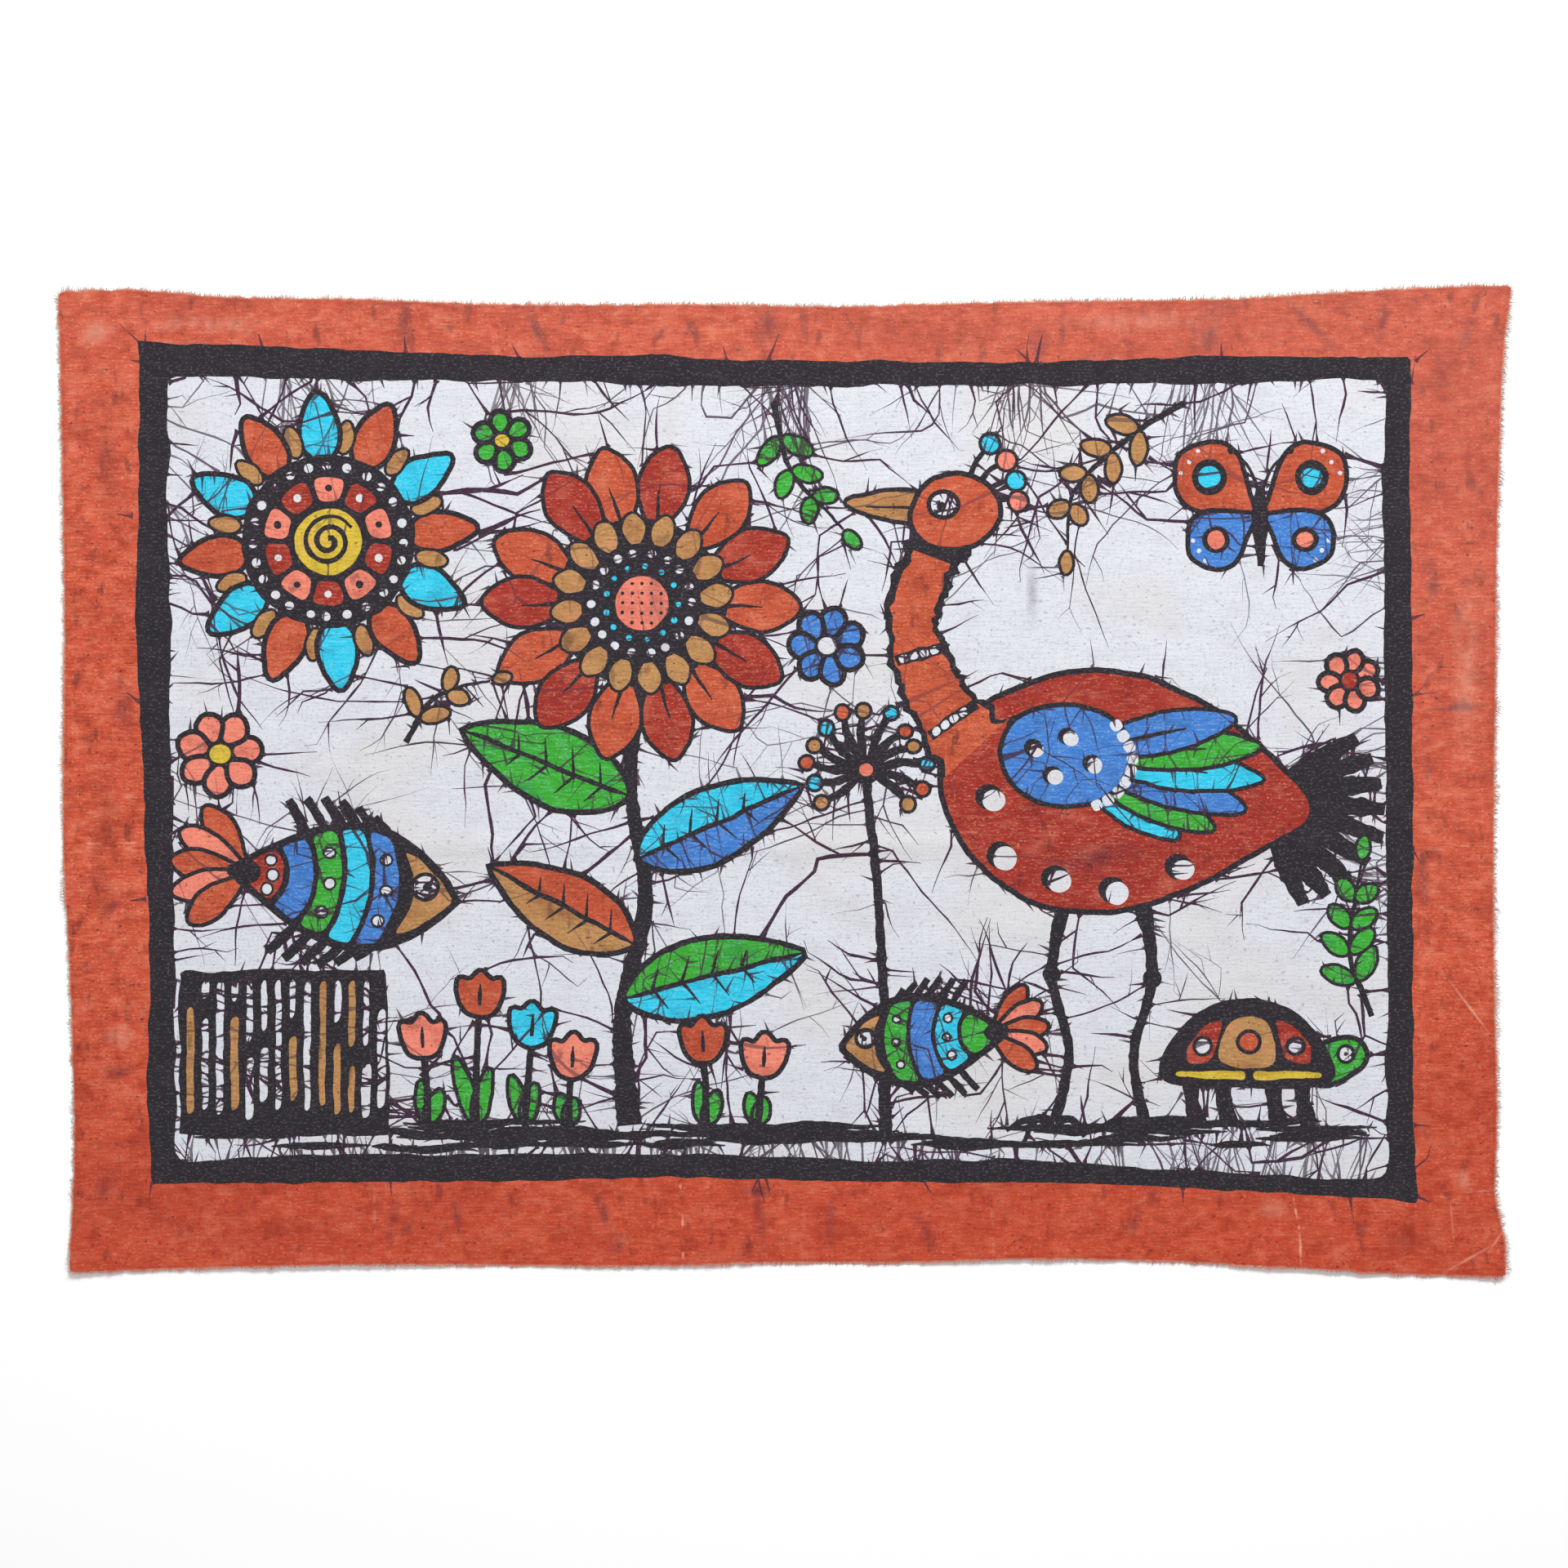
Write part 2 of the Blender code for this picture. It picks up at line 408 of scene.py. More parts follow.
spiral(*SUN, 14, 2.2, 2.6, 30)


# The sunflower: two rings of petals about a black seed head, on a thick black stem with halved leaves. The
# veins are bare cloth between two waxed halves, so they took the black dye.

def leaf(x, y, length, width, turn, upper, lower, veins=4):
    """A leaf with a dark midrib and short veins, its two halves in two dyes."""
    edge = petal(length, width, 0.42)[:17]
    paint("black", hand_drawn(grown(turned_right(even(placed(petal(length, width, 0.42), x, y, turn), 3)), 3.0), 0.8))
    for dye, side in ((upper, 1), (lower, -1)):
        rib = np.column_stack([edge[:, 0], np.minimum(1.3, edge[:, 1])])[::-1]
        wax(dye, placed(np.vstack([edge, rib]) * [1, side], x, y, turn), line=0, passes=2)
        for i in range(veins):
            start = length * (0.16 + 0.66 * i / veins)
            reach = np.interp(start + 7, edge[:, 0], edge[:, 1]) * 0.68
            vein = placed([(start, 1), (start + reach * 0.5, side * reach)], x, y, turn)
            stroke(vein, (1.9, 1.3, 0.5), unsteady=0.3)


def beads(points, width, length=6.5, gap=1.2, dye="white"):
    """A row of small wax dabs, side by side along a line, with dye between them."""
    line = smooth(points, 0.8, closed=False)
    side = across(line) * width / 2
    each = round(length / 0.8)
    for i in range(0, len(line) - each, each):
        j = i + each - round(gap / 0.8)
        low, high = line[i : j + 1] - side[i : j + 1], line[i : j + 1] + side[i : j + 1]
        wax(dye, np.vstack([low, high[::-1]]), line=0, passes=1, step=1.8, unsteady=0.5)


FLOWER = (-74, 92)
STEM = ((-74, 60), (-80, 0), (-72, -60), (-84, -120), (-80, -178))
LEAVES = (
    (-81, -8, 92, 38, 158, "green", "green"),
    (-76, -40, 92, 36, 24, "cyan", "blue"),
    (-78, -84, 84, 34, 152, "ochre", "orange"),
    (-83, -112, 96, 38, 14, "green", "cyan"),
)
stroke(STEM, (9, 7, 8, 9, 13))
for row in LEAVES:
    leaf(*row)
for i in range(14):
    turn = 360 * i / 14 + rng.uniform(-3, 3)
    wax(("orange", "brick")[i % 2], placed(petal(47, 25, 0.55), *placed([(36, 0)], *FLOWER, turn)[0], turn), 2.2)
    stroke(placed([(42, 0), (62, rng.uniform(-2, 2))], *FLOWER, turn), (2.4, 1.8, 0.6))
paint("black", hand_drawn(oval(*FLOWER, 44, 44), 1.0))
for i in range(16):
    turn = 360 * i / 16 + 6
    wax("ochre", placed(petal(20, 12.5, 0.55), *placed([(28, 0)], *FLOWER, turn)[0], turn), line=1.6)
paint("black", hand_drawn(oval(*FLOWER, 31, 31), 0.8))
ring_of_dabs(*FLOWER, 26, 2.6, 18)
ring_of_dabs(*FLOWER, 19, 2.0, 13, "cyan")
wax("salmon", oval(*FLOWER, 14, 14), line=0)
for i in range(-2, 3):
    for j in range(-2, 3):
        if abs(i) + abs(j) < 4:
            dot("black", FLOWER[0] + 5 * i, FLOWER[1] + 5 * j, 1.4)


# The long-legged bird: a dotted brick body with a fan of dyed flight feathers, a banded neck and a tail of
# bare black strokes. The big dots were waxed white first and shaded on one side when the black was brushed in.

def dots_with_shade(places, radius, dye="white"):
    """Round waxed dots, each with a black crescent beside it."""
    for x, y in places:
        paint("black", hand_drawn(oval(x - radius * 0.42, y + radius * 0.3, radius * 1.15, radius * 1.1), 0.6))
        dot(dye, x, y, radius)


BODY = (
    (88, 22), (118, 46), (165, 56), (210, 42), (248, 14), (272, -16), (246, -34), (210, -54),
    (170, -66), (130, -62), (98, -38), (82, -6),
)
NECK = ((98, 16), (76, 48), (66, 84), (76, 116), (88, 132))
TAIL = (243, -8)
for i in range(9):
    turn = -66 + 12 * i
    tip = placed([(70 - 2.2 * abs(i - 4), 0)], *TAIL, turn)[0]
    stroke([placed([(16, 0)], *TAIL, turn)[0], tip], (4, 8.5, 10.5, 9.5, 6))
for hip, knee, shank, foot in (
    ((146, -56), (138, -100), (147, -140), (140, -176)),
    ((184, -58), (190, -102), (180, -142), (186, -177)),
):
    stroke((hip, knee, shank, foot), (9, 6, 5, 5, 6))
    dot("black", *knee, 5.2)
    for toe in ((-26, -5), (-17, -11), (15, -8)):
        stroke((foot, (foot[0] + toe[0] * 0.6, foot[1] + 1), (foot[0] + toe[0], foot[1] + toe[1])), (5, 4, 2))
wax("brick", smooth(BODY), 3.0)
stroke(NECK, (46, 34, 29, 29, 32), step=3.0)
stroke(NECK[:4], (38, 26, 21.5, 20), "orange", step=3.0)
for low, high in zip(NECK, NECK[1:3]):
    middle, side = (np.array(low) + high) / 2, np.array([high[1] - low[1], low[0] - high[0]]) / 9.0
    stroke((middle - side * 3.4, middle + side * 3.4), (5.5, 6.5, 5.5))
    beads((middle - side * 3.0, middle + side * 3.0), 4.0, 5.5)
HEAD = (88, 140)
wax("ochre", placed(petal(46, 15, 0.3), HEAD[0] - 12, HEAD[1] + 1, 176), 2.4)
stroke(((HEAD[0] - 16, HEAD[1] + 1), (HEAD[0] - 46, HEAD[1] + 2)), (2.0, 0.8), unsteady=0.4)
for i, turn in enumerate((62, 44, 26, 8)):
    tip = placed([(39 - 2 * i, 0)], *HEAD, turn)[0]
    stroke((HEAD, placed([(26, 2)], *HEAD, turn)[0], tip), (5, 3, 2.6))
    dot(("cyan", "salmon")[i % 2], *tip, 4.6, 1.8)
wax("orange", smooth([(66, 138), (74, 153), (90, 158), (106, 150), (110, 136), (100, 124), (82, 121), (70, 127)]), 2.8)
dot("white", 82, 143, 6.6, 2.4)
dot("black", 81, 142, 2.9)
dots_with_shade(((108, -10), (124, 26), (114, -40), (142, -52), (172, -58), (206, -46)), 6.2)
SHOULDER = (140, 14)
FEATHERS = (
    (-34, 78, "cyan"), (-25, 92, "green"), (-16, 104, "blue"), (-7, 110, "cyan"), (2, 108, "green"), (11, 96, "blue"),
)
for turn, length, dye in FEATHERS:
    wax(dye, placed(petal(length, 19, 0.6), *SHOULDER, turn), 2.2)
    stroke(placed([(34, 0), (length * 0.72, 0)], *SHOULDER, turn), (1.6, 2.4, 0.8), unsteady=0.4)
wax("blue", smooth([(112, 16), (124, 34), (150, 38), (172, 28), (178, 8), (164, -8), (140, -12), (120, -2)]), 2.6)
beads([(170, 31), (180, 12), (172, -6), (156, -15)], 6.0, 6.5)
dots_with_shade(((130, 16), (148, 22), (140, 2), (160, 8)), 4.2)


# The two fish: banded like woven strips, each band a cell of its own dye between curved black lines, with
# fins and tails of slats.

def fish(x, y, size, turn, flip, bands):
    """A fish with its head at +X, in bands of dye from its gills to its tail."""
    length, width = 118.0, 62.0
    shape = petal(length, width, 0.56)[:17] - [length, 0]

    def put(points):
        return placed(points, x, y, turn, size, flip)

    def half_at(along):
        return np.interp(along, shape[:, 0], shape[:, 1])

    for side in (1, -1):
        for i in range(6):
            foot = -78 + 9 * i
            tip = (foot - 15, side * (half_at(foot) + 15 - i))
            stroke(put([(foot, side * (half_at(foot) - 4)), tip]), np.array((3, 5.4, 4.6)) * size)
    for i in range(5):
        angle = math.radians(180 + 26 * (i - 2))
        tip = (-length + 6 + 42 * math.cos(angle), 42 * math.sin(angle))
        line = put([(-length + 10, 0), tip])
        reach = 42 * size
        wax(("orange", "salmon")[i % 2], placed(petal(reach, 14 * size, 0.62), *line[0],
            math.degrees(math.atan2(*(line[1] - line[0])[::-1]))), 2.2)
    outline = np.vstack([shape, (shape * [1, -1])[::-1]])
    paint("black", hand_drawn(grown(turned_right(put(outline)), 2.6), 0.7))
    edges = np.linspace(-36, -length + 8, len(bands) + 1)
    for i, dye in enumerate(bands):
        front, back = edges[i] - 1.5, edges[i + 1] + 1.5
        rows = np.linspace(-1, 1, 9)
        bow = 7 * (1 - rows**2)
        ahead = np.column_stack([front + bow, rows * np.maximum(half_at(front + bow) - 1.2, 1)])
        behind = np.column_stack([back + bow, rows * np.maximum(half_at(back + bow) - 1.2, 1)])
        wax(dye, put(np.vstack([ahead, behind[::-1]])), line=0, passes=2)
        if i % 2 == 0:
            for row in (-0.55, 0.0, 0.55):
                middle = (front + back) / 2 + 7 * (1 - row**2)
                dot("white", *put([(middle, row * half_at(middle))])[0], 2.9 * size, 1.2)
    rows = np.linspace(-1, 1, 9)
    gill = np.column_stack([-31 + 7 * (1 - rows**2), rows * (half_at(-26) - 2)])
    brow = outline[(outline[:, 0] > -33)] * [1, 0.93] - [1, 0]
    brow = brow[np.argsort(np.arctan2(brow[:, 1], brow[:, 0] + 30))]
    wax("ochre", put(np.vstack([gill[::-1] + [1.5, 0], brow[(brow[:, 0] > -30)]])), line=0, passes=1)
    dot("white", *put([(-17, 5)])[0], 6.0 * size, 2.0)
    dot("black", *put([(-16, 5)])[0], 2.8 * size)


fish(-170, -62, 1.0, -8, 1, ("blue", "cyan", "green", "blue", "brick"))


# What fills the ground: a butterfly, small flowers and sprigs, reeds, a papyrus and a tortoise, painted freehand.

BUTTERFLY = (246, 138)
for side in (1, -1):
    for turn, length, width, dye, spot in ((38, 50, 36, "orange", "cyan"), (-32, 40, 30, "blue", "salmon")):
        wing = placed(petal(length, width, 0.64), 2, 0, turn) * [side, 1] + BUTTERFLY
        wax(dye, wing, 2.6)
        middle = placed([(length * 0.62, 0)], 2, 0, turn) * [side, 1] + BUTTERFLY
        dot("black", *middle[0], width * 0.25)
        dot(spot, *middle[0], width * 0.16)
        for far in (-1, 0, 1):
            edge = placed([(length * 0.88, far * width * 0.2)], 2, 0, turn) * [side, 1] + BUTTERFLY
            dot("white", *edge[0], 1.7)
    feeler = np.array([(0, 10), (6, 24), (15, 33)]) * [side, 1] + BUTTERFLY
    stroke(feeler, (2.4, 1.6, 1.4), unsteady=0.3)
    dot("black", *feeler[-1], 2.4)
stroke((np.array(BUTTERFLY) + [0, 15], BUTTERFLY, np.array(BUTTERFLY) - [0, 27]), (5, 8, 7, 3))


def daisy(x, y, radius, dye, heart, count=7):
    """A small open flower."""
    start = rng.uniform(0, 50)
    for i in range(count):
        turn = start + 360 * i / count
        wax(dye, placed(petal(radius * 0.8, radius * 0.62, 0.6), *placed([(radius * 0.24, 0)], x, y, turn)[0], turn))
    dot(heart, x, y, radius * 0.27, 1.8)


def sprig(points, pairs, dye, size):
    """A thin bent stem with small leaves on both sides."""
    line = smooth(points, 2.0, closed=False)
    stroke(points, (3.4, 2.6, 1.4))
    heading = np.degrees(np.arctan2(*np.gradient(line, axis=0).T[::-1]))
    for i in range(pairs):
        k = int((0.25 + 0.7 * i / pairs) * (len(line) - 1))
        for side in (1, -1):
            wax(dye, placed(petal(size * (1 - 0.4 * i / pairs), size * 0.42), *line[k], heading[k] + side * 48), 1.7)
    wax(dye, placed(petal(size * 0.7, size * 0.34), *line[-1], heading[-1]), 1.7)


def tulip(x, height, dye, lean=0.0):
    """A cup-shaped flower on a stem with two blades, standing on the ground."""
    top = (x + lean, GROUND_LINE + height)
    for turn, length in ((104 + lean, 0.62), (74 + lean, 0.52)):
        wax("green", placed(petal(height * length, 8, 0.4), x, GROUND_LINE + 2, turn), 2.0)
    stroke(((x, GROUND_LINE - 2), (x + lean * 0.3, GROUND_LINE + height / 2), top), (4.4, 3.6, 3.6))
    cup = [(-5, -2), (-10, 6), (-11, 17), (-5, 13), (0, 21), (5, 13), (11, 17), (10, 6), (5, -2)]
    wax(dye, placed(smooth(cup), *top, -lean), 2.6)
    stroke(placed([(0, 2), (0, 13)], *top, -lean), (1.6, 2.2, 0.8), unsteady=0.3)


def papyrus(x, lean, height, reach, rays):
    """A tall stem with a head of black rays, each with a dab of dye at its end."""
    head = (x + lean, GROUND_LINE + height)
    stroke(((x, GROUND_LINE - 2), (x + lean * 0.2, GROUND_LINE + height / 2), head), (7, 5, 4.6, 5))
    for i in range(rays):
        turn = -38 + 256 * i / (rays - 1) + rng.uniform(-3, 3)
        far = reach * rng.uniform(0.82, 1)
        stroke(placed([(2, 0), (far * 0.6, 2), (far, 0)], *head, turn), (3.0, 5.0, 3.0))
        dot(("ochre", "orange", "cyan")[i % 3], *placed([(far + 1, 0)], *head, turn)[0], 3.4, 1.8)
    dot("black", *head, 7.5)
    dot("salmon", *head, 4.0)


def tortoise(x, y):
    """A domed shell of dyed plates on four short legs."""
    for foot in (-30, -14, 12, 27):
        stroke(((x + foot, y - 4), (x + foot + 1, y - 16), (x + foot + 4, y - 28)), (9, 8, 10))
    wax("green", placed(smooth([(28, 2), (40, 14), (56, 16), (60, 6), (50, -2), (36, -6)]), x, y), 2.8)
    dot("white", x + 50, y + 9, 3.6, 1.8)
    dot("black", x + 50, y + 9, 1.6)
    wax("black", placed(smooth([(-44, -6), (-42, 14), (-24, 32), (0, 38), (24, 31), (40, 12), (42, -6), (0, -9)]), x, y), 0)
    wax("ochre", placed(smooth([(-15, 6), (-9, 26), (8, 26), (14, 6), (0, 1)]), x, y), 0, passes=1)
    for side in (1, -1):
        wax("brick", placed([(19 * side, 5), (13 * side, 27), (23 * side, 24), (33 * side, 12), (32 * side, 3)], x, y), 0)
        wax("yellow", placed([(-38, -3), (-38, -0.5), (-2, 0), (-2, -5)], x, y, 0, 1, side), 0, passes=1)
        dot("white", x + 24 * side, y + 13, 4.0, 1.8)
    dot("orange", x, y + 15, 5.0, 2.0)


def reed_screen(left, right, top):
    """A black stand of reeds with waxed slits between them, some of them dyed."""
    paint("black", hand_drawn(even([(left, GROUND_LINE - 3), (right, GROUND_LINE - 3), (right - 2, top), (left, top)], 4), 1.4))
    for x in np.arange(left + 5.5, right - 3, 7.6):
        foot = GROUND_LINE + rng.uniform(3, 14)
        while foot < top - 14:
            end = min(foot + rng.uniform(26, 84), top - 4)
            half = rng.uniform(1.3, 2.3)
            slit = [(x - half, foot), (x + half, foot + 2), (x + half * 1.2, end), (x - half, end - 2)]
            wax(rng.choice(("white", "white", "white", "ochre")), slit, 0, passes=2)
            foot = end + rng.uniform(4, 9)


daisy(-292, 14, 21, "salmon", "yellow")
daisy(22, 70, 19, "blue", "white")
daisy(292, 52, 15, "salmon", "brick")
daisy(-146, 176, 15, "green", "yellow", 6)
sprig(((-6, 196), (4, 160), (30, 130)), 3, "green", 20)
sprig(((304, -122), (292, -88), (298, -42)), 4, "green", 21)
sprig(((-196, 20), (-180, 44), (-152, 52)), 2, "ochre", 18)
sprig(((206, 196), (176, 176), (150, 150), (146, 120)), 4, "ochre", 20)
reed_screen(-313, -204, -98)
for x, height, dye, lean in (
    (-184, 40, "salmon", -3), (-160, 62, "orange", 2), (-134, 46, "cyan", 3), (-112, 30, "salmon", 2),
    (-40, 38, "orange", -2), (-14, 30, "salmon", 3),
):
    tulip(x, height, dye, lean)
papyrus(52, -10, 186, 31, 13)
fish(30, -138, 0.72, 6, -1, ("green", "blue", "cyan", "green"))
tortoise(240, -150)


# The ground: bare strokes between waxed ones, so they came out black.

for _ in range(64):
    start, high = rng.uniform(-316, 270), GROUND_LINE - 3 + 8 * rng.gauss(0, 0.45)
    length = rng.uniform(24, 95)
    line = [(start + length * t, high + rng.uniform(-1.2, 1.2)) for t in (0, 0.33, 0.67, 1)]
    stroke([(min(x, 309), y) for x, y in line], (0.9, 3.6, 4.2, 2.6, 0.8))


# The crackle: the wax was crumpled before the black bath, and the dye ran into its cracks. They run from one
# drawn outline to the next, mostly straight across or up, flare where they meet the black, fork and fade out.

MAP_STEP = 1.25
MAP_LEFT, MAP_FOOT = -400.0, -280.0
CRACK_LIMITS = (372.0, 246.0)
CRACK_ROOT = 2.2
CRACK_STEP = 6.5
CRACK_WANDER = 0.09
CRACK_KINK = 0.18
CRACK_FORKS = 0.15
FLARE = 1.6
CRACK_DYE = "#40293A"

# How much of a crack's dye shows in each dye below it
SHOWS_CRACKS = {
    "terracotta": 0.85, "black": 0.0, "white": 1.0, "blue": 0.9, "cyan": 0.95, "green": 0.9,
    "ochre": 0.6, "salmon": 0.65, "orange": 0.45, "brick": 0.4, "yellow": 0.8,
}
shows = np.array([SHOWS_CRACKS[name] for name in DYE_NAMES])

# The kinds of ground that the material treats apart, each by a number kept beside its colour
COOL = ("blue", "cyan", "green")
WARM = ("ochre", "salmon", "orange", "brick", "yellow")
KINDS = {"black": 0.0, "border": 0.25, "warm": 0.5, "cool": 0.75, "white": 1.0}
kinds = np.array([
    KINDS[{"black": "black", "terracotta": "border", "white": "white"}.get(name, "cool" if name in COOL else "warm")]
    for name in DYE_NAMES
])
BLACK = DYE_NAMES.index("black")


def near(outline, points):
    """The numbers of the points in an outline's box, where the points are sorted along X."""
    (left, foot), (right, head) = outline.min(0), outline.max(0)
    first, last = np.searchsorted(points[:, 0], (left, right))
    up = points[first:last, 1]
    return first + np.flatnonzero((up >= foot) & (up <= head))


def covered(outline, points):
    """Which of the points lie inside an outline."""
    x, y = points.T
    winding = np.zeros(len(points), int)
    for (x0, y0), (x1, y1) in zip(outline, np.roll(outline, -1, 0)):
        side = (x1 - x0) * (y - y0) - (x - x0) * (y1 - y0)
        winding += (y0 <= y) & (y < y1) & (side > 0)
        winding -= (y1 <= y) & (y < y0) & (side < 0)
    return winding != 0


def inside(outline, points):
    """The numbers of the points inside an outline, where the points are sorted along X."""
    close = near(outline, points)
    return close[covered(outline, points[close])]


def dye_map():
    """The dye at each step across and up the cloth, as a guide for where the cracks start and stop."""
    columns, rows = round(-2 * MAP_LEFT / MAP_STEP), round(-2 * MAP_FOOT / MAP_STEP)
    i, j = np.mgrid[:columns, :rows]
    points = np.column_stack([i.ravel() * MAP_STEP + MAP_LEFT, j.ravel() * MAP_STEP + MAP_FOOT])
    found = np.zeros(columns * rows, int)
    for dye, outline in cells[1:]:
        found[inside(outline, points)] = dye
    return found.reshape(columns, rows)


dyes_there = dye_map()
cracks = []


def dye_at(x, y):
    """The number of the dye at one place."""
    return dyes_there[round((x - MAP_LEFT) / MAP_STEP), round((y - MAP_FOOT) / MAP_STEP)]


def crack(x, y, heading, length, width, strength=1.0, flare=FLARE):
    """One crack in the wax, with its forks, until it fades out or meets the black again."""
    line, widths, gone = [(x, y)], [width + flare], 0.0
    while gone < length:
        step = CRACK_ROOT if gone == 0 else CRACK_STEP
        heading += rng.gauss(0, CRACK_WANDER)
        if rng.random() < CRACK_KINK:
            heading += rng.gauss(0, 0.5)
        x, y, gone = x + step * math.cos(heading), y + step * math.sin(heading), gone + step
        if abs(x) > CRACK_LIMITS[0] or abs(y) > CRACK_LIMITS[1]:
            break
        left = max(0.0, 1 - gone / length)
        line.append((x, y))
        if gone > 3 and dye_at(x, y) == BLACK:
            widths.append(width * 0.8 + flare * 0.9)
            break
        widths.append(width * min(1, 0.22 + 1.7 * left) * rng.uniform(0.7, 1.3))
        if rng.random() < CRACK_FORKS and left > 0.2:
            branch = heading + rng.choice((-1, 1)) * rng.uniform(0.35, 0.95)
            crack(x, y, branch, (length - gone) * rng.uniform(0.3, 0.8), width * rng.uniform(0.5, 0.85), strength, 0)
    if len(line) > 1:
        line = np.array(line)
        side = across(line) * np.array(widths)[:, None] / 2
        cracks.append((strength, np.vstack([line - side, (line + side)[::-1]])))


def starts(dyes, dx, dy):
    """The places inside the frame where black meets one of the dyes, that way across or up."""
    beyond = np.roll(dyes_there, (-dx, -dy), (0, 1))
    wanted = [DYE_NAMES.index(name) for name in dyes]
    columns, rows = np.nonzero((dyes_there == BLACK) & np.isin(beyond, wanted))
    places = np.column_stack([columns * MAP_STEP + MAP_LEFT, rows * MAP_STEP + MAP_FOOT])
    return places[(abs(places[:, 0]) < 322) & (abs(places[:, 1]) < 213)]


# What the cracks run into, the way they head, how many start there, their shortest and longest length, their
# width and how far their heading varies, in degrees
Kind = namedtuple("Kind", "into heading count short long width spread")
CRACK_KINDS = (
    Kind(("white",), 0, 30, 30, 130, 1.7, 10),
    Kind(("white",), 180, 30, 30, 130, 1.7, 10),
    Kind(("white",), -90, 44, 20, 90, 1.6, 16),
    Kind(("white",), 90, 16, 20, 70, 1.6, 16),
    Kind(("white",), 0, 280, 8, 85, 1.05, 12),
    Kind(("white",), 180, 280, 8, 85, 1.05, 12),
    Kind(("white",), 90, 140, 6, 60, 1.0, 16),
    Kind(("white",), -90, 240, 6, 75, 1.05, 15),
    Kind(COOL, 0, 110, 5, 36, 0.75, 26),
    Kind(COOL, 180, 110, 5, 36, 0.75, 26),
    Kind(COOL, 90, 120, 5, 36, 0.75, 26),
    Kind(COOL, -90, 120, 5, 36, 0.75, 26),
    Kind(WARM, 0, 40, 3, 14, 0.7, 30),
    Kind(WARM, -90, 50, 3, 14, 0.7, 30),
)
for kind in CRACK_KINDS:
    places = starts(kind.into, round(math.cos(math.radians(kind.heading))), round(math.sin(math.radians(kind.heading))))
    for _ in range(kind.count):
        x, y = places[rng.randrange(len(places))]
        heading = math.radians(kind.heading + rng.gauss(0, kind.spread))
        length = kind.short + (kind.long - kind.short) * rng.random() ** 2.2
        width = kind.width * rng.uniform(0.5, 1.3)
        crack(x, y, heading, length, width, min(1.0, 0.45 + 0.6 * width), FLARE * kind.width)

# Thorns: dye that crept a little way under the wax's edge, on each of its four sides
THORNS_A_SIDE = 260
for dx, dy in ((1, 0), (-1, 0), (0, 1), (0, -1)):
    places = starts(("white", *COOL), dx, dy)
    for _ in range(THORNS_A_SIDE):
        x, y = places[rng.randrange(len(places))]
        heading = math.degrees(math.atan2(dy, dx)) + rng.gauss(0, 24)
        half = rng.uniform(0.5, 1.1)
        thorn = placed([(-0.5, -half), (rng.uniform(2.5, 8), 0), (-0.5, half)], x, y, heading)
        cracks.append((0.95, thorn))

# Sheaves of cracks where the cloth was gripped: where they start, from one point to another, the way they
# head, how far that varies in degrees, how many there are, their shortest and longest length, their width
# and how dark they are
Sheaf = namedtuple("Sheaf", "x0 y0 x1 y1 heading spread count short long width dark")
SHEAVES = (
    Sheaf(-12, 209, 14, 209, -90, 7, 26, 25, 120, 1.0, 1.0),
    Sheaf(112, 209, 136, 209, -92, 6, 18, 25, 100, 1.0, 1.0),
    Sheaf(200, 209, 232, 209, -96, 8, 18, 20, 90, 0.9, 0.9),
    Sheaf(-262, 212, -200, 212, -75, 16, 12, 60, 150, 1.0, 0.9),
    Sheaf(-150, 211, -128, 211, -88, 8, 14, 20, 80, 0.9, 0.9),
    Sheaf(-321, 190, -321, 100, -32, 9, 8, 50, 130, 0.9, 0.9),
    Sheaf(300, -210, 200, -205, 96, 14, 18, 15, 50, 0.9, 0.9),
    Sheaf(-120, -197, 60, -199, 92, 18, 60, 8, 26, 1.1, 0.95),
    Sheaf(-310, -200, -130, -197, 90, 18, 48, 6, 22, 1.1, 0.95),
    Sheaf(60, -199, 305, -209, 92, 18, 50, 6, 26, 1.1, 0.95),
    Sheaf(313, -60, 313, 60, 176, 10, 30, 20, 80, 0.8, 0.9),
    Sheaf(313, 100, 313, 200, 186, 12, 18, 15, 60, 0.8, 0.9),
)
for row in SHEAVES:
    for _ in range(row.count):
        share = rng.random()
        crack(
            row.x0 + (row.x1 - row.x0) * share,
            row.y0 + (row.y1 - row.y0) * share,
            math.radians(row.heading + rng.gauss(0, row.spread)),
            row.short + (row.long - row.short) * rng.random() ** 1.4,
            row.width * rng.uniform(0.5, 1.3),
            row.dark * rng.uniform(0.8, 1),
        )


# Spurs of black that crept out of the frame into the border: where they start, how they head and how far
SPURS = (
    (-333, 226, 128, 9), (-331, 224, 100, 6), (-330, 216, 170, 5), (-337, 137, 178, 7), (-333, 41, 160, 5),
    (-330, -61, 200, 6), (-326, -207, 225, 9), (-204, -206, -84, 8), (-14, -203, -95, 13), (-10, -204, -70, 8),
    (71, -206, -60, 7), (206, -210, -84, 8), (292, -214, -96, 9), (325, -200, 14, 12), (326, -214, -30, 8),
    (325, -178, 8, 7), (324, -34, -20, 8), (323, 44, 5, 9), (323, 84, 10, 6), (324, 205, 30, 9), (326, 217, 50, 8),
    (226, 218, 96, 8), (130, 216, 84, 12), (126, 216, 104, 9), (-8, 217, 86, 10), (-30, 217, 100, 7),
    (-137, 218, 110, 8), (-196, 221, 80, 7), (-270, 223, 92, 6),
)
for x, y, heading, length in SPURS:
    crack(x, y, math.radians(heading), length, 1.5, 1.0, 1.8)


# The dyed sheet itself: one thin closed mesh whose edges follow every outline and crack, so that each dye
# ends where the wax did. The dye goes right through, so the back shows the same picture, less its cracks.

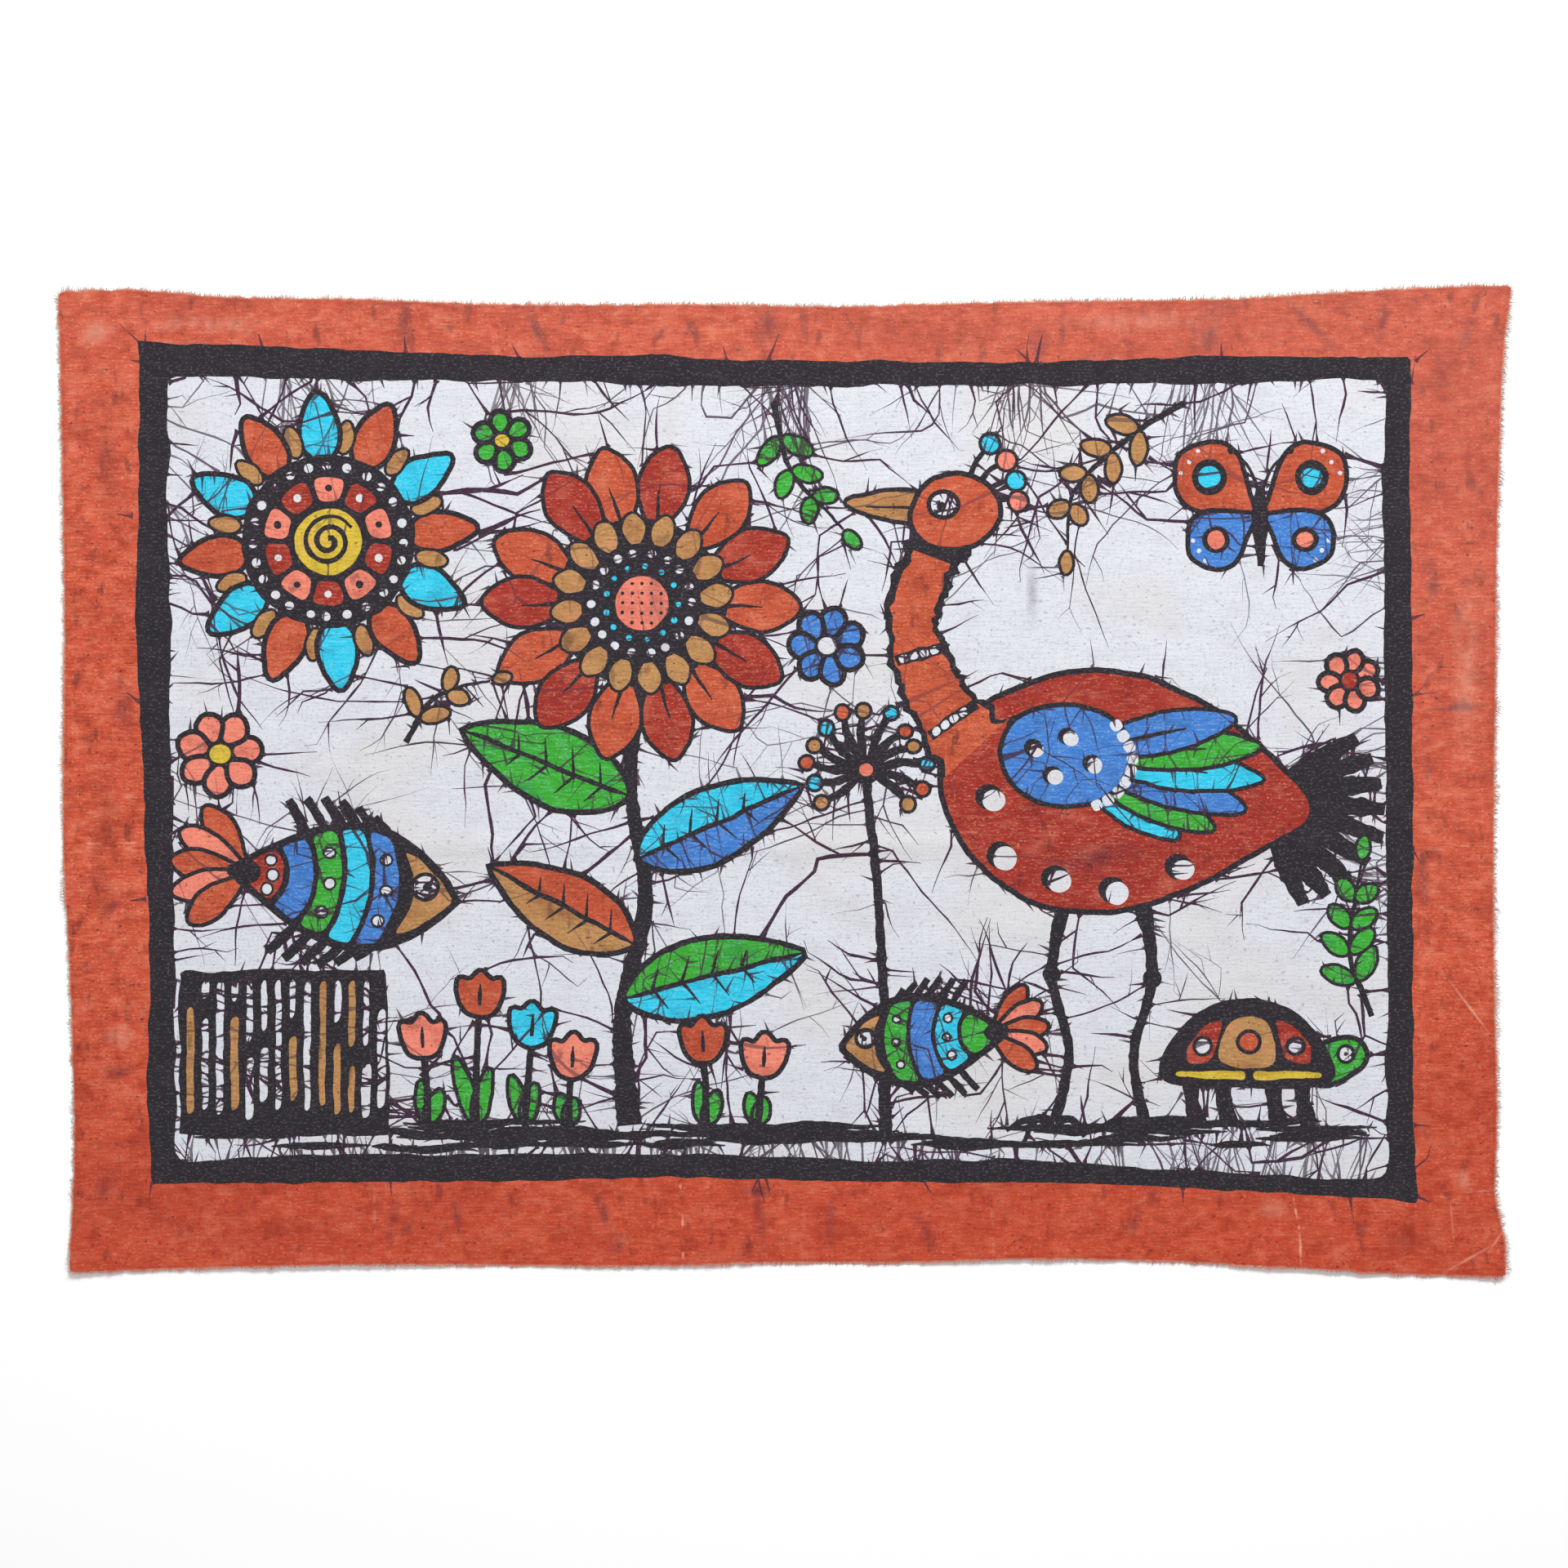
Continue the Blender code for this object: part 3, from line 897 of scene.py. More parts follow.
GRID_STEP = 8.0
panel_edge = cut_edge()


def cut_up(points, edges):
    """The panel cut into triangles along the given edges, sorted along X."""
    found = delaunay_2d_cdt([Vector(point) for point in points], edges, [], 0, 0.02, False)
    points, triangles = np.array([tuple(point) for point in found[0]]), np.array(found[2])
    triangles = triangles[np.argsort(points[triangles].mean(axis=1)[:, 0])]
    return points, triangles[inside(panel_edge, points[triangles].mean(axis=1))]


def dyed(points, triangles, lines):
    """The number of each triangle's dye, and how dark the cracks are there."""
    middles = points[triangles].mean(axis=1)
    dyes, dark = np.zeros(len(triangles), int), np.zeros(len(triangles))
    for dye, outline in cells:
        dyes[inside(outline, middles)] = dye
    for strength, outline in lines:
        within = inside(outline, middles)
        dark[within] = np.maximum(dark[within], strength)
    return dyes, dark * shows[dyes]


def seams(triangles, looks):
    """The edges between triangles of unlike looks, and the panel's own edge."""
    sides = np.sort(np.vstack([triangles[:, [0, 1]], triangles[:, [1, 2]], triangles[:, [2, 0]]]), axis=1)
    size = sides.max() + 1
    keys, index, uses = np.unique(sides @ [size, 1], return_inverse=True, return_counts=True)
    least, most = np.full(len(keys), np.inf), np.full(len(keys), -np.inf)
    np.minimum.at(least, index, np.tile(looks, 3))
    np.maximum.at(most, index, np.tile(looks, 3))
    keys = keys[(uses == 1) | (least != most)]
    return np.column_stack([keys // size, keys % size])


def face_of_cloth(lines):
    """One face of the sheet: its points, its triangles, their dyes and how dark the cracks are there."""
    loops = [panel_edge, *(outline for _, outline in cells[1:] + lines)]
    edges, first = [], 0
    for loop in loops:
        edges.extend((first + i, first + (i + 1) % len(loop)) for i in range(len(loop)))
        first += len(loop)
    points, triangles = cut_up(np.vstack(loops), edges)
    dyes, dark = dyed(points, triangles, lines)
    used, kept = np.unique(seams(triangles, 2 * dyes + dark), return_inverse=True)
    columns = np.arange(-CLOTH_WIDTH / 2, CLOTH_WIDTH / 2, GRID_STEP) + GRID_STEP / 2
    rows = np.arange(-CLOTH_HEIGHT / 2, CLOTH_HEIGHT / 2, GRID_STEP) + GRID_STEP / 2
    grid = np.array([(x, y) for x in columns for y in rows])
    grid = grid[inside(grown(panel_edge, -2.0), grid)]
    points, triangles = cut_up(np.vstack([points[used], grid]), kept.reshape(-1, 2).tolist())
    return points, triangles, *dyed(points, triangles, lines)


def linear(colour):
    """An sRGB hex colour as linear red, green and blue."""
    shares = [int(colour[i : i + 2], 16) / 255 for i in (1, 3, 5)]
    return [s / 12.92 if s <= 0.04045 else ((s + 0.055) / 1.055) ** 2.4 for s in shares]


def colours_of(dyes, dark):
    """The colour of each triangle, with the number of its kind of ground as its alpha."""
    table = np.array([linear(colour) for colour in DYES.values()])
    share = dark[:, None]
    colour = table[dyes] * (1 - share) + np.array(linear(CRACK_DYE)) * share
    return np.column_stack([colour, np.where(dark > 0.3, KINDS["black"], kinds[dyes])])


def rim_numbers(points):
    """The numbers of the panel's edge points among a face's points."""
    return np.array([np.argmin(((points - place) ** 2).sum(axis=1)) for place in panel_edge])


def normals_of(points):
    """The surface's normals, from its slope."""
    ahead, above = np.array([SLOPE_STEP, 0]), np.array([0, SLOPE_STEP])
    slope_x = (rise(points + ahead) - rise(points - ahead)) / (2 * SLOPE_STEP)
    slope_y = (rise(points + above) - rise(points - above)) / (2 * SLOPE_STEP)
    normals = np.column_stack([-slope_x, -slope_y, np.ones(len(points))])
    return normals / np.linalg.norm(normals, axis=1)[:, None]


def rim_places(count):
    """The rim's corners on the bake map, a strip that runs once round the cloth."""
    start = np.arange(count) / count
    end = start + 1 / count
    low, high = np.full(count, RIM_STRIP[0]), np.full(count, RIM_STRIP[1])
    lower = np.column_stack([start, low, end, low, start, high])
    upper = np.column_stack([end, low, end, high, start, high])
    return np.vstack([lower, upper]).reshape(-1, 2)


SLOPE_STEP = 0.5
# Where the faces lie on the bake map: the front below, the back smaller above it, the rim in a strip on top
FRONT_SIZE = (1.0, 0.66)
BACK_SIZE, BACK_PLACE = (0.45, 0.30), (0.0, 0.675)
RIM_STRIP = (0.985, 0.998)
top, top_triangles, *top_looks = face_of_cloth(cracks)
under, under_triangles, *under_looks = face_of_cloth([])
under_triangles = under_triangles[:, ::-1] + len(top)
a, b = rim_numbers(top), rim_numbers(under) + len(top)
c, d = np.roll(a, -1), np.roll(b, -1)
rim_triangles = np.vstack([np.column_stack([b, d, a]), np.column_stack([d, c, a])])
flat = np.vstack([top, under])
height = rise(flat) + UNDERSIDE_GAP
height[: len(top)] += COTTON_THICKNESS
faces = np.vstack([top_triangles, under_triangles, rim_triangles])
rim_colours = np.tile([*linear(DYES["terracotta"]), KINDS["border"]], (len(rim_triangles), 1))
colours = np.vstack([colours_of(*top_looks), colours_of(*under_looks), rim_colours])

mesh = bpy.data.meshes.new("batik_cloth")
mesh.from_pydata((np.column_stack([flat, height]) * MM).tolist(), [], faces.tolist())
dye_layer = mesh.color_attributes.new("dye", "FLOAT_COLOR", "CORNER")
dye_layer.data.foreach_set("color", np.repeat(colours, 3, 0).ravel())
shares = np.column_stack(shares_of(flat))
mesh.uv_layers.new(name="cloth").uv.foreach_set("vector", shares[faces.ravel()].ravel())
bake_places = np.vstack([
    shares[top_triangles.ravel()] * FRONT_SIZE,
    shares[under_triangles.ravel()] * BACK_SIZE + BACK_PLACE,
    rim_places(len(a)),
])
mesh.uv_layers.new(name="OFBake").uv.foreach_set("vector", bake_places.ravel())
mesh.shade_smooth()
normals = normals_of(flat)
normals[len(top) :] *= -1
corner_normals = normals[faces.ravel()]
corner_normals[-3 * len(rim_triangles) :] = 0
mesh.update()
mesh.normals_split_custom_set(corner_normals.tolist())

cloth = bpy.data.objects.new("batik_cloth", mesh)
bpy.context.scene.collection.objects.link(cloth)


def node(tree, kind, settings=(), **inputs):
    """Adds a node. Its inputs go by name, or by i and a number, and take a value, a socket or another node."""
    made = tree.nodes.new(kind)
    for key, value in dict(settings).items():
        setattr(made, key, value)
    for name, value in inputs.items():
        socket = made.inputs[int(name[1:]) if name[1:].isdigit() else name.replace("_", " ")]
        if isinstance(value, bpy.types.Node):
            value = value.outputs[0]
        if isinstance(value, bpy.types.NodeSocket):
            tree.links.new(value, socket)
        else:
            socket.default_value = value
    return made


# The cloth's surface is plain-woven cotton, dyed in cold baths and boiled free of its wax. It is matt and a
# little uneven: thick places in its threads run across it as streaks, and the dye lies thinner on them. Its
# threads are 0.35 mm apart, too fine for the picture, so they are drawn about three times as coarse.

# How wide and how high each pattern's features are, in millimetres, and how many finer layers it has
Grain = namedtuple("Grain", "across up layers")
GRAINS = {
    "weft": Grain(7, 1.1, 2),
    "warp": Grain(1.1, 6, 2),
    "nap": Grain(1.5, 0.9, 1),
    "slubs": Grain(15, 1.5, 1),
    "dabs": Grain(7, 5, 3),
    "mottle": Grain(17, 12, 4),
    "clouds": Grain(85, 60, 2),
    "specks": Grain(2.3, 2.0, 1),
    "smudges": Grain(7, 16, 5),
    "crumple": Grain(30, 22, 2),
}

# Where a pattern is stronger than its low value, and fully so at its high one, a layer of another colour
# shows, up to its share, on the named kinds of ground
Layer = namedtuple("Layer", "pattern low high onto colour share")
DYED = ("border", "warm")
LAYERS = (
    Layer("weft", 0.50, 0.72, DYED, "#FFC7A0", 0.10),
    Layer("weft", 0.50, 0.28, DYED, "#5A1A14", 0.20),
    Layer("warp", 0.50, 0.30, DYED, "#5A1A14", 0.12),
    Layer("nap", 0.62, 0.82, DYED, "#FFB890", 0.32),
    Layer("nap", 0.42, 0.22, DYED, "#4A1818", 0.24),
    Layer("slubs", 0.66, 0.80, DYED, "#FFC8A8", 0.09),
    Layer("dabs", 0.50, 0.24, ("border",), "#8E2C1C", 0.50),
    Layer("dabs", 0.54, 0.76, ("border",), "#FFA284", 0.26),
    Layer("mottle", 0.50, 0.26, DYED, "#7A2018", 0.34),
    Layer("mottle", 0.52, 0.74, DYED, "#FFA080", 0.18),
    Layer("clouds", 0.50, 0.30, DYED, "#9A2E20", 0.20),
    Layer("specks", 0.765, 0.80, DYED, "#3B1F25", 0.60),
    Layer("smudges", 0.59, 0.74, DYED, "#33242A", 0.50),
    Layer("weft", 0.50, 0.74, ("cool",), "#C4EAF4", 0.12),
    Layer("weft", 0.50, 0.28, ("cool",), "#14263C", 0.16),
    Layer("nap", 0.62, 0.82, ("cool",), "#C4EAF4", 0.24),
    Layer("nap", 0.42, 0.22, ("cool",), "#14263C", 0.22),
    Layer("mottle", 0.50, 0.26, ("cool",), "#1D3F63", 0.24),
    Layer("weft", 0.50, 0.30, ("white",), "#A6A3B4", 0.16),
    Layer("warp", 0.50, 0.30, ("white",), "#A6A3B4", 0.10),
    Layer("nap", 0.44, 0.22, ("white",), "#8F8B9C", 0.26),
    Layer("mottle", 0.50, 0.72, ("white",), "#CDCAD5", 0.36),
    Layer("clouds", 0.50, 0.68, ("white",), "#D9D4CF", 0.40),
    Layer("specks", 0.73, 0.79, ("white",), "#8D8290", 0.40),
    Layer("weft", 0.50, 0.75, ("black",), "#5A5460", 0.16),
    Layer("nap", 0.56, 0.78, ("black",), "#8C8490", 0.22),
    Layer("mottle", 0.50, 0.75, ("black",), "#4A3F48", 0.18),
)

# Marks of handling, each a soft oval: the middle, half its length and width in millimetres, how far turned in
# degrees and how strong. Dye smears are dark, spots where a bath was spilt are deep, and rubbed creases pale.
Mark = namedtuple("Mark", "x y long wide turn share")
MARKS = {
    "#40293A": (
        Mark(-196, 236, 15, 5, 84, 0.7), Mark(-128, 232, 17, 4, 118, 0.7), Mark(-9, 236, 16, 8, 84, 0.85),
        Mark(10, 237, 14, 3, 96, 1.0), Mark(131, 227, 11, 7, 100, 0.9), Mark(220, 233, 24, 9, 60, 0.7),
        Mark(272, 236, 26, 4, 134, 0.7), Mark(309, 238, 14, 4, 80, 0.7), Mark(353, 232, 12, 5, 70, 0.6),
        Mark(-203, -228, 16, 4, 80, 0.7), Mark(-169, -226, 15, 4, 100, 0.7), Mark(-92, -226, 15, 4, 112, 0.8),
        Mark(-86, -240, 8, 5, 80, 0.6), Mark(-14, -212, 5, 11, 90, 1.0), Mark(-13, -228, 24, 4, 94, 0.95),
        Mark(-20, -242, 7, 5, 60, 0.8), Mark(24, -226, 16, 4, 86, 0.7), Mark(71, -230, 20, 5, 118, 0.7),
        Mark(181, -226, 15, 5, 84, 0.7), Mark(-343, 40, 7, 18, 10, 0.7), Mark(-348, -65, 9, 4, 40, 0.6),
        Mark(-345, -151, 8, 5, 10, 0.7), Mark(-351, -210, 14, 6, 60, 0.6), Mark(334, 105, 5, 16, 10, 0.8),
        Mark(348, 38, 20, 3, 4, 0.7), Mark(330, -53, 5, 16, 0, 0.8), Mark(128, 96, 4, 22, 0, 0.5),
        Mark(-66, 92, 6, 40, 8, 0.45), Mark(160, -40, 34, 9, 12, 0.5),
    ),
    "#7E2A20": (
        Mark(321, -234, 17, 13, 20, 1.0), Mark(340, 210, 9, 26, 12, 0.5), Mark(-351, 170, 8, 40, 4, 0.5),
        Mark(-352, -30, 9, 50, 0, 0.5), Mark(80, 230, 60, 9, 0, 0.4), Mark(-260, -232, 50, 12, 0, 0.4),
    ),
    "#F2AE94": (
        Mark(353, -247, 17, 1.0, 30, 0.9), Mark(368, -237, 9, 0.9, 55, 0.8), Mark(360, -212, 12, 0.8, 4, 0.9),
        Mark(351, -207, 7, 7, 30, 0.5), Mark(354, -117, 20, 0.9, -53, 0.9), Mark(252, -221, 9, 7, 0, 0.6),
        Mark(-344, -132, 9, 8, 0, 0.5), Mark(-356, 232, 12, 8, 30, 0.5), Mark(345, -228, 14, 0.8, 95, 0.6),
        Mark(-300, 236, 40, 6, 0, 0.35), Mark(180, 238, 50, 6, 0, 0.35), Mark(352, 60, 9, 60, 0, 0.35),
    ),
}

# Painted light and shade on the border: a lighter, pinker colour towards the upper right and a darker one towards the
# bottom
PAINTED_LIGHT_UPPER_RIGHT = "#B87468"
PAINTED_SHADE_BELOW = "#B6361F"
WORN = "#F6B294"
WORN_HALF_WIDTH = 0.6
WORN_REACH = 0.14


def dyed_cotton():
    """The dyed cotton's material."""
    made = bpy.data.materials.new("wax_dyed_cotton")
    made.use_nodes = True
    tree = made.node_tree
    shader = tree.nodes["Principled BSDF"]
    dye = node(tree, "ShaderNodeAttribute", {"attribute_name": "dye"})
    at = node(tree, "ShaderNodeTexCoord").outputs["Object"]
    at = node(tree, "ShaderNodeVectorMath", {"operation": "SCALE"}, i0=at, Scale=1 / MM)
    across = node(tree, "ShaderNodeSeparateXYZ", i0=node(tree, "ShaderNodeUVMap", {"uv_map": "cloth"}))

    grains = {}
    for name, grain in GRAINS.items():
        size = (1 / grain.across, 1 / grain.up, 0.2)
        scaled = node(tree, "ShaderNodeVectorMath", {"operation": "MULTIPLY"}, i0=at, i1=size)
        grains[name] = node(tree, "ShaderNodeTexNoise", Vector=scaled, Scale=1.0, Detail=grain.layers - 1)

    grounds = {
        name: node(tree, "ShaderNodeMath", {"operation": "COMPARE"}, i0=dye.outputs["Alpha"], i1=number, i2=0.1)
        for name, number in KINDS.items()
    }
    coats = []
    for layer in LAYERS:
        ground = 0.0
        for name in layer.onto:
            ground = node(tree, "ShaderNodeMath", {"operation": "MAXIMUM"}, i0=ground, i1=grounds[name])
        mask = node(
            tree, "ShaderNodeMapRange", {"interpolation_type": "SMOOTHSTEP"},
            Value=grains[layer.pattern], From_Min=layer.low, From_Max=layer.high, To_Max=layer.share,
        )
        coats.append((node(tree, "ShaderNodeMath", {"operation": "MULTIPLY"}, i0=mask, i1=ground), layer.colour))

    patchy = node(tree, "ShaderNodeMapRange", Value=grains["smudges"], From_Min=0.30, From_Max=0.56)
    for colour, marks in MARKS.items():
        marked = 0.0
        for mark in marks:
            spot = node(
                tree, "ShaderNodeMapping", {"vector_type": "TEXTURE"},
                Vector=at, Location=(mark.x, mark.y, 0), Rotation=(0, 0, math.radians(mark.turn)),
                Scale=(mark.long, mark.wide, 1e4),
            )
            spot = node(tree, "ShaderNodeVectorMath", {"operation": "LENGTH"}, i0=spot).outputs["Value"]
            spot = node(tree, "ShaderNodeMapRange", Value=spot, From_Min=1.0, From_Max=0.0, To_Max=mark.share)
            marked = node(tree, "ShaderNodeMath", {"operation": "MAXIMUM"}, i0=marked, i1=spot)
        coats.append((node(tree, "ShaderNodeMath", {"operation": "MULTIPLY"}, i0=marked, i1=patchy), colour))

    # Painted light and shade: the border's colour is mixed lighter and pinker towards the upper right and darker
    # towards the bottom
    right, up = across.outputs["X"], across.outputs["Y"]
    upper_right = node(tree, "ShaderNodeMath", {"operation": "MULTIPLY_ADD"}, i0=right, i1=0.4, i2=up)
    painted_light_share = node(tree, "ShaderNodeMapRange", Value=upper_right, From_Min=0.65, From_Max=1.3, To_Max=0.26)
    painted_shade_share = node(tree, "ShaderNodeMapRange", Value=up, From_Min=0.34, From_Max=0.0, To_Max=0.36)
    for share, colour in ((painted_light_share, PAINTED_LIGHT_UPPER_RIGHT), (painted_shade_share, PAINTED_SHADE_BELOW)):
        coats.append((node(tree, "ShaderNodeMath", {"operation": "MULTIPLY"}, i0=share, i1=grounds["border"]), colour))

    for fold in FOLDS:
        off, along, size = (right, up, CLOTH_WIDTH) if fold.runs == "up" else (up, right, CLOTH_HEIGHT)
        line = node(tree, "ShaderNodeMath", {"operation": "COMPARE"}, i0=off, i1=fold.at, i2=WORN_HALF_WIDTH / size)
        reach = node(
            tree, "ShaderNodeMapRange", Value=along, From_Min=WORN_REACH, From_Max=WORN_REACH / 2, To_Max=fold.worn
        )
        line = node(tree, "ShaderNodeMath", {"operation": "MULTIPLY"}, i0=line, i1=reach)
        line = node(tree, "ShaderNodeMath", {"operation": "MULTIPLY"}, i0=line, i1=grounds["border"])
        wear_and_edge_shade = node(tree, "ShaderNodeMapRange", Value=grains["dabs"], From_Min=0.47, From_Max=0.64)
        coats.append((node(tree, "ShaderNodeMath", {"operation": "MULTIPLY"}, i0=line, i1=wear_and_edge_shade), WORN))
    # Along each raw edge, a dark band 3.2 mm wide is painted shade at the cloth's edge, and a pale band 1.1 mm wide is
    # the paler, rubbed edge itself
    for along, size in ((right, CLOTH_WIDTH), (up, CLOTH_HEIGHT)):
        middle = node(tree, "ShaderNodeMath", {"operation": "SUBTRACT"}, i0=along, i1=0.5)
        middle = node(tree, "ShaderNodeMath", {"operation": "ABSOLUTE"}, i0=middle)
        for colour, width, share in (("#8E3426", 3.2, 0.55), ("#F6C3A6", 1.1, 0.8)):
            wear_and_edge_shade = node(
                tree, "ShaderNodeMapRange",
                Value=middle, From_Min=0.5 - width / size, From_Max=0.5, To_Max=share,
            )
            coats.append((node(tree, "ShaderNodeMath", {"operation": "MULTIPLY"}, i0=wear_and_edge_shade, i1=grains["nap"]), colour))

    colour = dye.outputs["Color"]
    for share, coat in coats:
        mix = node(tree, "ShaderNodeMix", {"data_type": "RGBA"}, i0=share, i6=colour, i7=(*linear(coat), 1))
        colour = mix.outputs[2]
    tree.links.new(colour, shader.inputs["Base Color"])

    height = 0.0
    for name, size in (("weft", 0.10), ("warp", 0.07), ("nap", 0.10), ("slubs", 0.12), ("crumple", 1.6)):
        height = node(tree, "ShaderNodeMath", {"operation": "MULTIPLY_ADD"}, i0=grains[name], i1=size * MM, i2=height)
    bump = node(tree, "ShaderNodeBump", Height=height, Distance=1.0, Strength=1.0)
    tree.links.new(bump.outputs[0], shader.inputs["Normal"])
    roughness = node(tree, "ShaderNodeMapRange", Value=grains["nap"], To_Min=0.82, To_Max=0.98)
    tree.links.new(roughness.outputs[0], shader.inputs["Roughness"])
    shader.inputs["Specular IOR Level"].default_value = 0.2
    shader.inputs["Sheen Weight"].default_value = 0.12
    shader.inputs["Sheen Roughness"].default_value = 0.5
    return made


mesh.materials.append(dyed_cotton())

# The frayed edge: where the panel was cut, single cotton threads of the weave have worked loose and stand out.
# They are spun yarn, matt, with the dye at their roots and paler tips. Cotton yarn here is 0.3 mm thick.

THREADS = 5200
THREAD_WIDTH = 0.36
THREAD_SEED = 11
UNDYED = "#B5A896"
# The longest reach of each edge's threads in millimetres, and how far the dye missed them
Fray = namedtuple("Fray", "reach pale")
FRAYS = {"left": Fray(3.2, 0.95), "right": Fray(4.2, 0.6), "bottom": Fray(2.2, 0.12), "top": Fray(3.4, 0.85)}


def frayed_threads(material):
    """A node group that sets bent, tapering threads along an edge, pointing away from the cloth."""
    tree = bpy.data.node_groups.new("frayed_threads", "GeometryNodeTree")
    tree.interface.new_socket("Edge", in_out="INPUT", socket_type="NodeSocketGeometry")
    for name, kind, value in (
        ("Count", "NodeSocketInt", THREADS),
        ("Width", "NodeSocketFloat", THREAD_WIDTH * MM),
        ("Seed", "NodeSocketInt", THREAD_SEED),
    ):
        tree.interface.new_socket(name, in_out="INPUT", socket_type=kind).default_value = value
    tree.interface.new_socket("Threads", in_out="OUTPUT", socket_type="NodeSocketGeometry")
    given = node(tree, "NodeGroupInput").outputs
    edge = node(tree, "GeometryNodeMeshToCurve", Mesh=given["Edge"])
    roots = node(tree, "GeometryNodeCurveToPoints", Curve=edge, Count=given["Count"])
    outward = node(
        tree, "ShaderNodeVectorMath", {"operation": "CROSS_PRODUCT"}, i0=roots.outputs["Tangent"], i1=(0, 0, 1)
    )
    turn = node(tree, "FunctionNodeAlignRotationToVector", {"axis": "X", "pivot_axis": "Z"}, Vector=outward)
    stray = node(
        tree, "FunctionNodeRandomValue", {"data_type": "FLOAT_VECTOR"},
        i0=(-1.5, -0.16, -0.85), i1=(1.5, 0.06, 0.85), Seed=given["Seed"],
    )
    stray = node(tree, "FunctionNodeEulerToRotation", Euler=stray)
    turn = node(tree, "FunctionNodeRotateRotation", {"rotation_space": "LOCAL"}, Rotation=turn, Rotate_By=stray)
    reach = node(tree, "GeometryNodeInputNamedAttribute", {"data_type": "FLOAT"}, Name="reach")
    share = node(tree, "FunctionNodeRandomValue", {"data_type": "FLOAT"}, i2=0.25, i3=1.0, Seed=given["Seed"])
    size = node(tree, "ShaderNodeMath", {"operation": "MULTIPLY"}, i0=reach, i1=share.outputs[1])
    bent = node(
        tree, "GeometryNodeCurveQuadraticBezier",
        Resolution=4, Start=(-0.25, 0, 0), Middle=(0.5, 0.35, 0.1), End=(1, -0.05, 0),
    )
    threads = node(tree, "GeometryNodeInstanceOnPoints", Points=roots, Instance=bent, Rotation=turn, Scale=size)
    threads = node(tree, "GeometryNodeRealizeInstances", Geometry=threads)
    along = node(tree, "GeometryNodeSplineParameter")
    threads = node(
        tree, "GeometryNodeStoreNamedAttribute", {"data_type": "FLOAT", "domain": "POINT"},
        Geometry=threads, Name="along", Value=along,
    )
    taper = node(tree, "ShaderNodeMapRange", Value=along, To_Min=1.0, To_Max=0.45)
    section = node(tree, "GeometryNodeCurvePrimitiveCircle", Resolution=3, Radius=given["Width"])
    section = node(
        tree, "GeometryNodeStoreNamedAttribute", {"data_type": "FLOAT", "domain": "POINT"},
        Geometry=section, Name="around", Value=node(tree, "GeometryNodeSplineParameter"),
    )
    half = node(tree, "ShaderNodeMath", {"operation": "MULTIPLY"}, i0=taper, i1=0.5)
    threads = node(tree, "GeometryNodeCurveToMesh", i0=threads, i1=section, i2=half)
    along, pale, around = (
        node(tree, "GeometryNodeInputNamedAttribute", {"data_type": "FLOAT"}, Name=name)
        for name in ("along", "pale", "around")
    )
    pale = node(tree, "ShaderNodeMath", {"operation": "MULTIPLY"}, i0=pale, i1=0.9)
    pale = node(tree, "ShaderNodeMath", {"operation": "MULTIPLY_ADD"}, i0=around, i1=0.1, i2=pale)
    place = node(tree, "ShaderNodeCombineXYZ", X=along, Y=pale)
    threads = node(
        tree, "GeometryNodeStoreNamedAttribute", {"data_type": "FLOAT2", "domain": "CORNER"},
        Geometry=threads, Name="OFBake", Value=place,
    )
    threads = node(tree, "GeometryNodeSetMaterial", Geometry=threads, Material=material)
    node(tree, "NodeGroupOutput", Threads=threads)
    return tree


def spun_cotton():
    """The loose threads' material: terracotta at the root, undyed cream at the tip and where the dye missed."""
    made = bpy.data.materials.new("spun_cotton")
    made.use_nodes = True
    tree = made.node_tree
    shader = tree.nodes["Principled BSDF"]
    place = node(tree, "ShaderNodeSeparateXYZ", i0=node(tree, "ShaderNodeUVMap", {"uv_map": "OFBake"}))
    share = node(tree, "ShaderNodeMath", {"operation": "MULTIPLY_ADD"}, i0=place.outputs[0], i1=0.45, i2=place.outputs[1])
    share = node(tree, "ShaderNodeMapRange", Value=share, From_Min=0.25, From_Max=1.2)
    colour = node(
        tree, "ShaderNodeMix", {"data_type": "RGBA"},
        i0=share, i6=(*linear(DYES["terracotta"]), 1), i7=(*linear(UNDYED), 1),
    )
    tree.links.new(colour.outputs[2], shader.inputs["Base Color"])
    shader.inputs["Roughness"].default_value = 0.95
    shader.inputs["Specular IOR Level"].default_value = 0.15
    return made


def fray_edge():
    """The panel's edge as a wire, with its threads' reach and paleness at each point."""
    u, v = shares_of(panel_edge)
    gaps = np.array([u * CLOTH_WIDTH, (1 - u) * CLOTH_WIDTH, v * CLOTH_HEIGHT, (1 - v) * CLOTH_HEIGHT])
    rows = [FRAYS[side] for side in ("left", "right", "bottom", "top")]
    side = gaps.argmin(axis=0)
    patchy = np.array([0.75 + 0.5 * noise.noise(Vector((x / 22, y / 22, 3.0))) for x, y in panel_edge])
    speckled = np.array([noise.noise(Vector((x / 4, y / 4, 8.0))) for x, y in panel_edge])
    wire = bpy.data.meshes.new("frayed_edge")
    points = np.column_stack([panel_edge, rise(panel_edge) + UNDERSIDE_GAP + COTTON_THICKNESS * 0.6]) * MM
    wire.from_pydata(points.tolist(), [(i, (i + 1) % len(points)) for i in range(len(points))], [])
    reach = wire.attributes.new("reach", "FLOAT", "POINT")
    reach.data.foreach_set("value", np.array([row.reach for row in rows])[side] * patchy * MM)
    pale = wire.attributes.new("pale", "FLOAT", "POINT")
    pale.data.foreach_set("value", np.clip(np.array([row.pale for row in rows])[side] + 0.5 * speckled, 0, 1))
    return wire


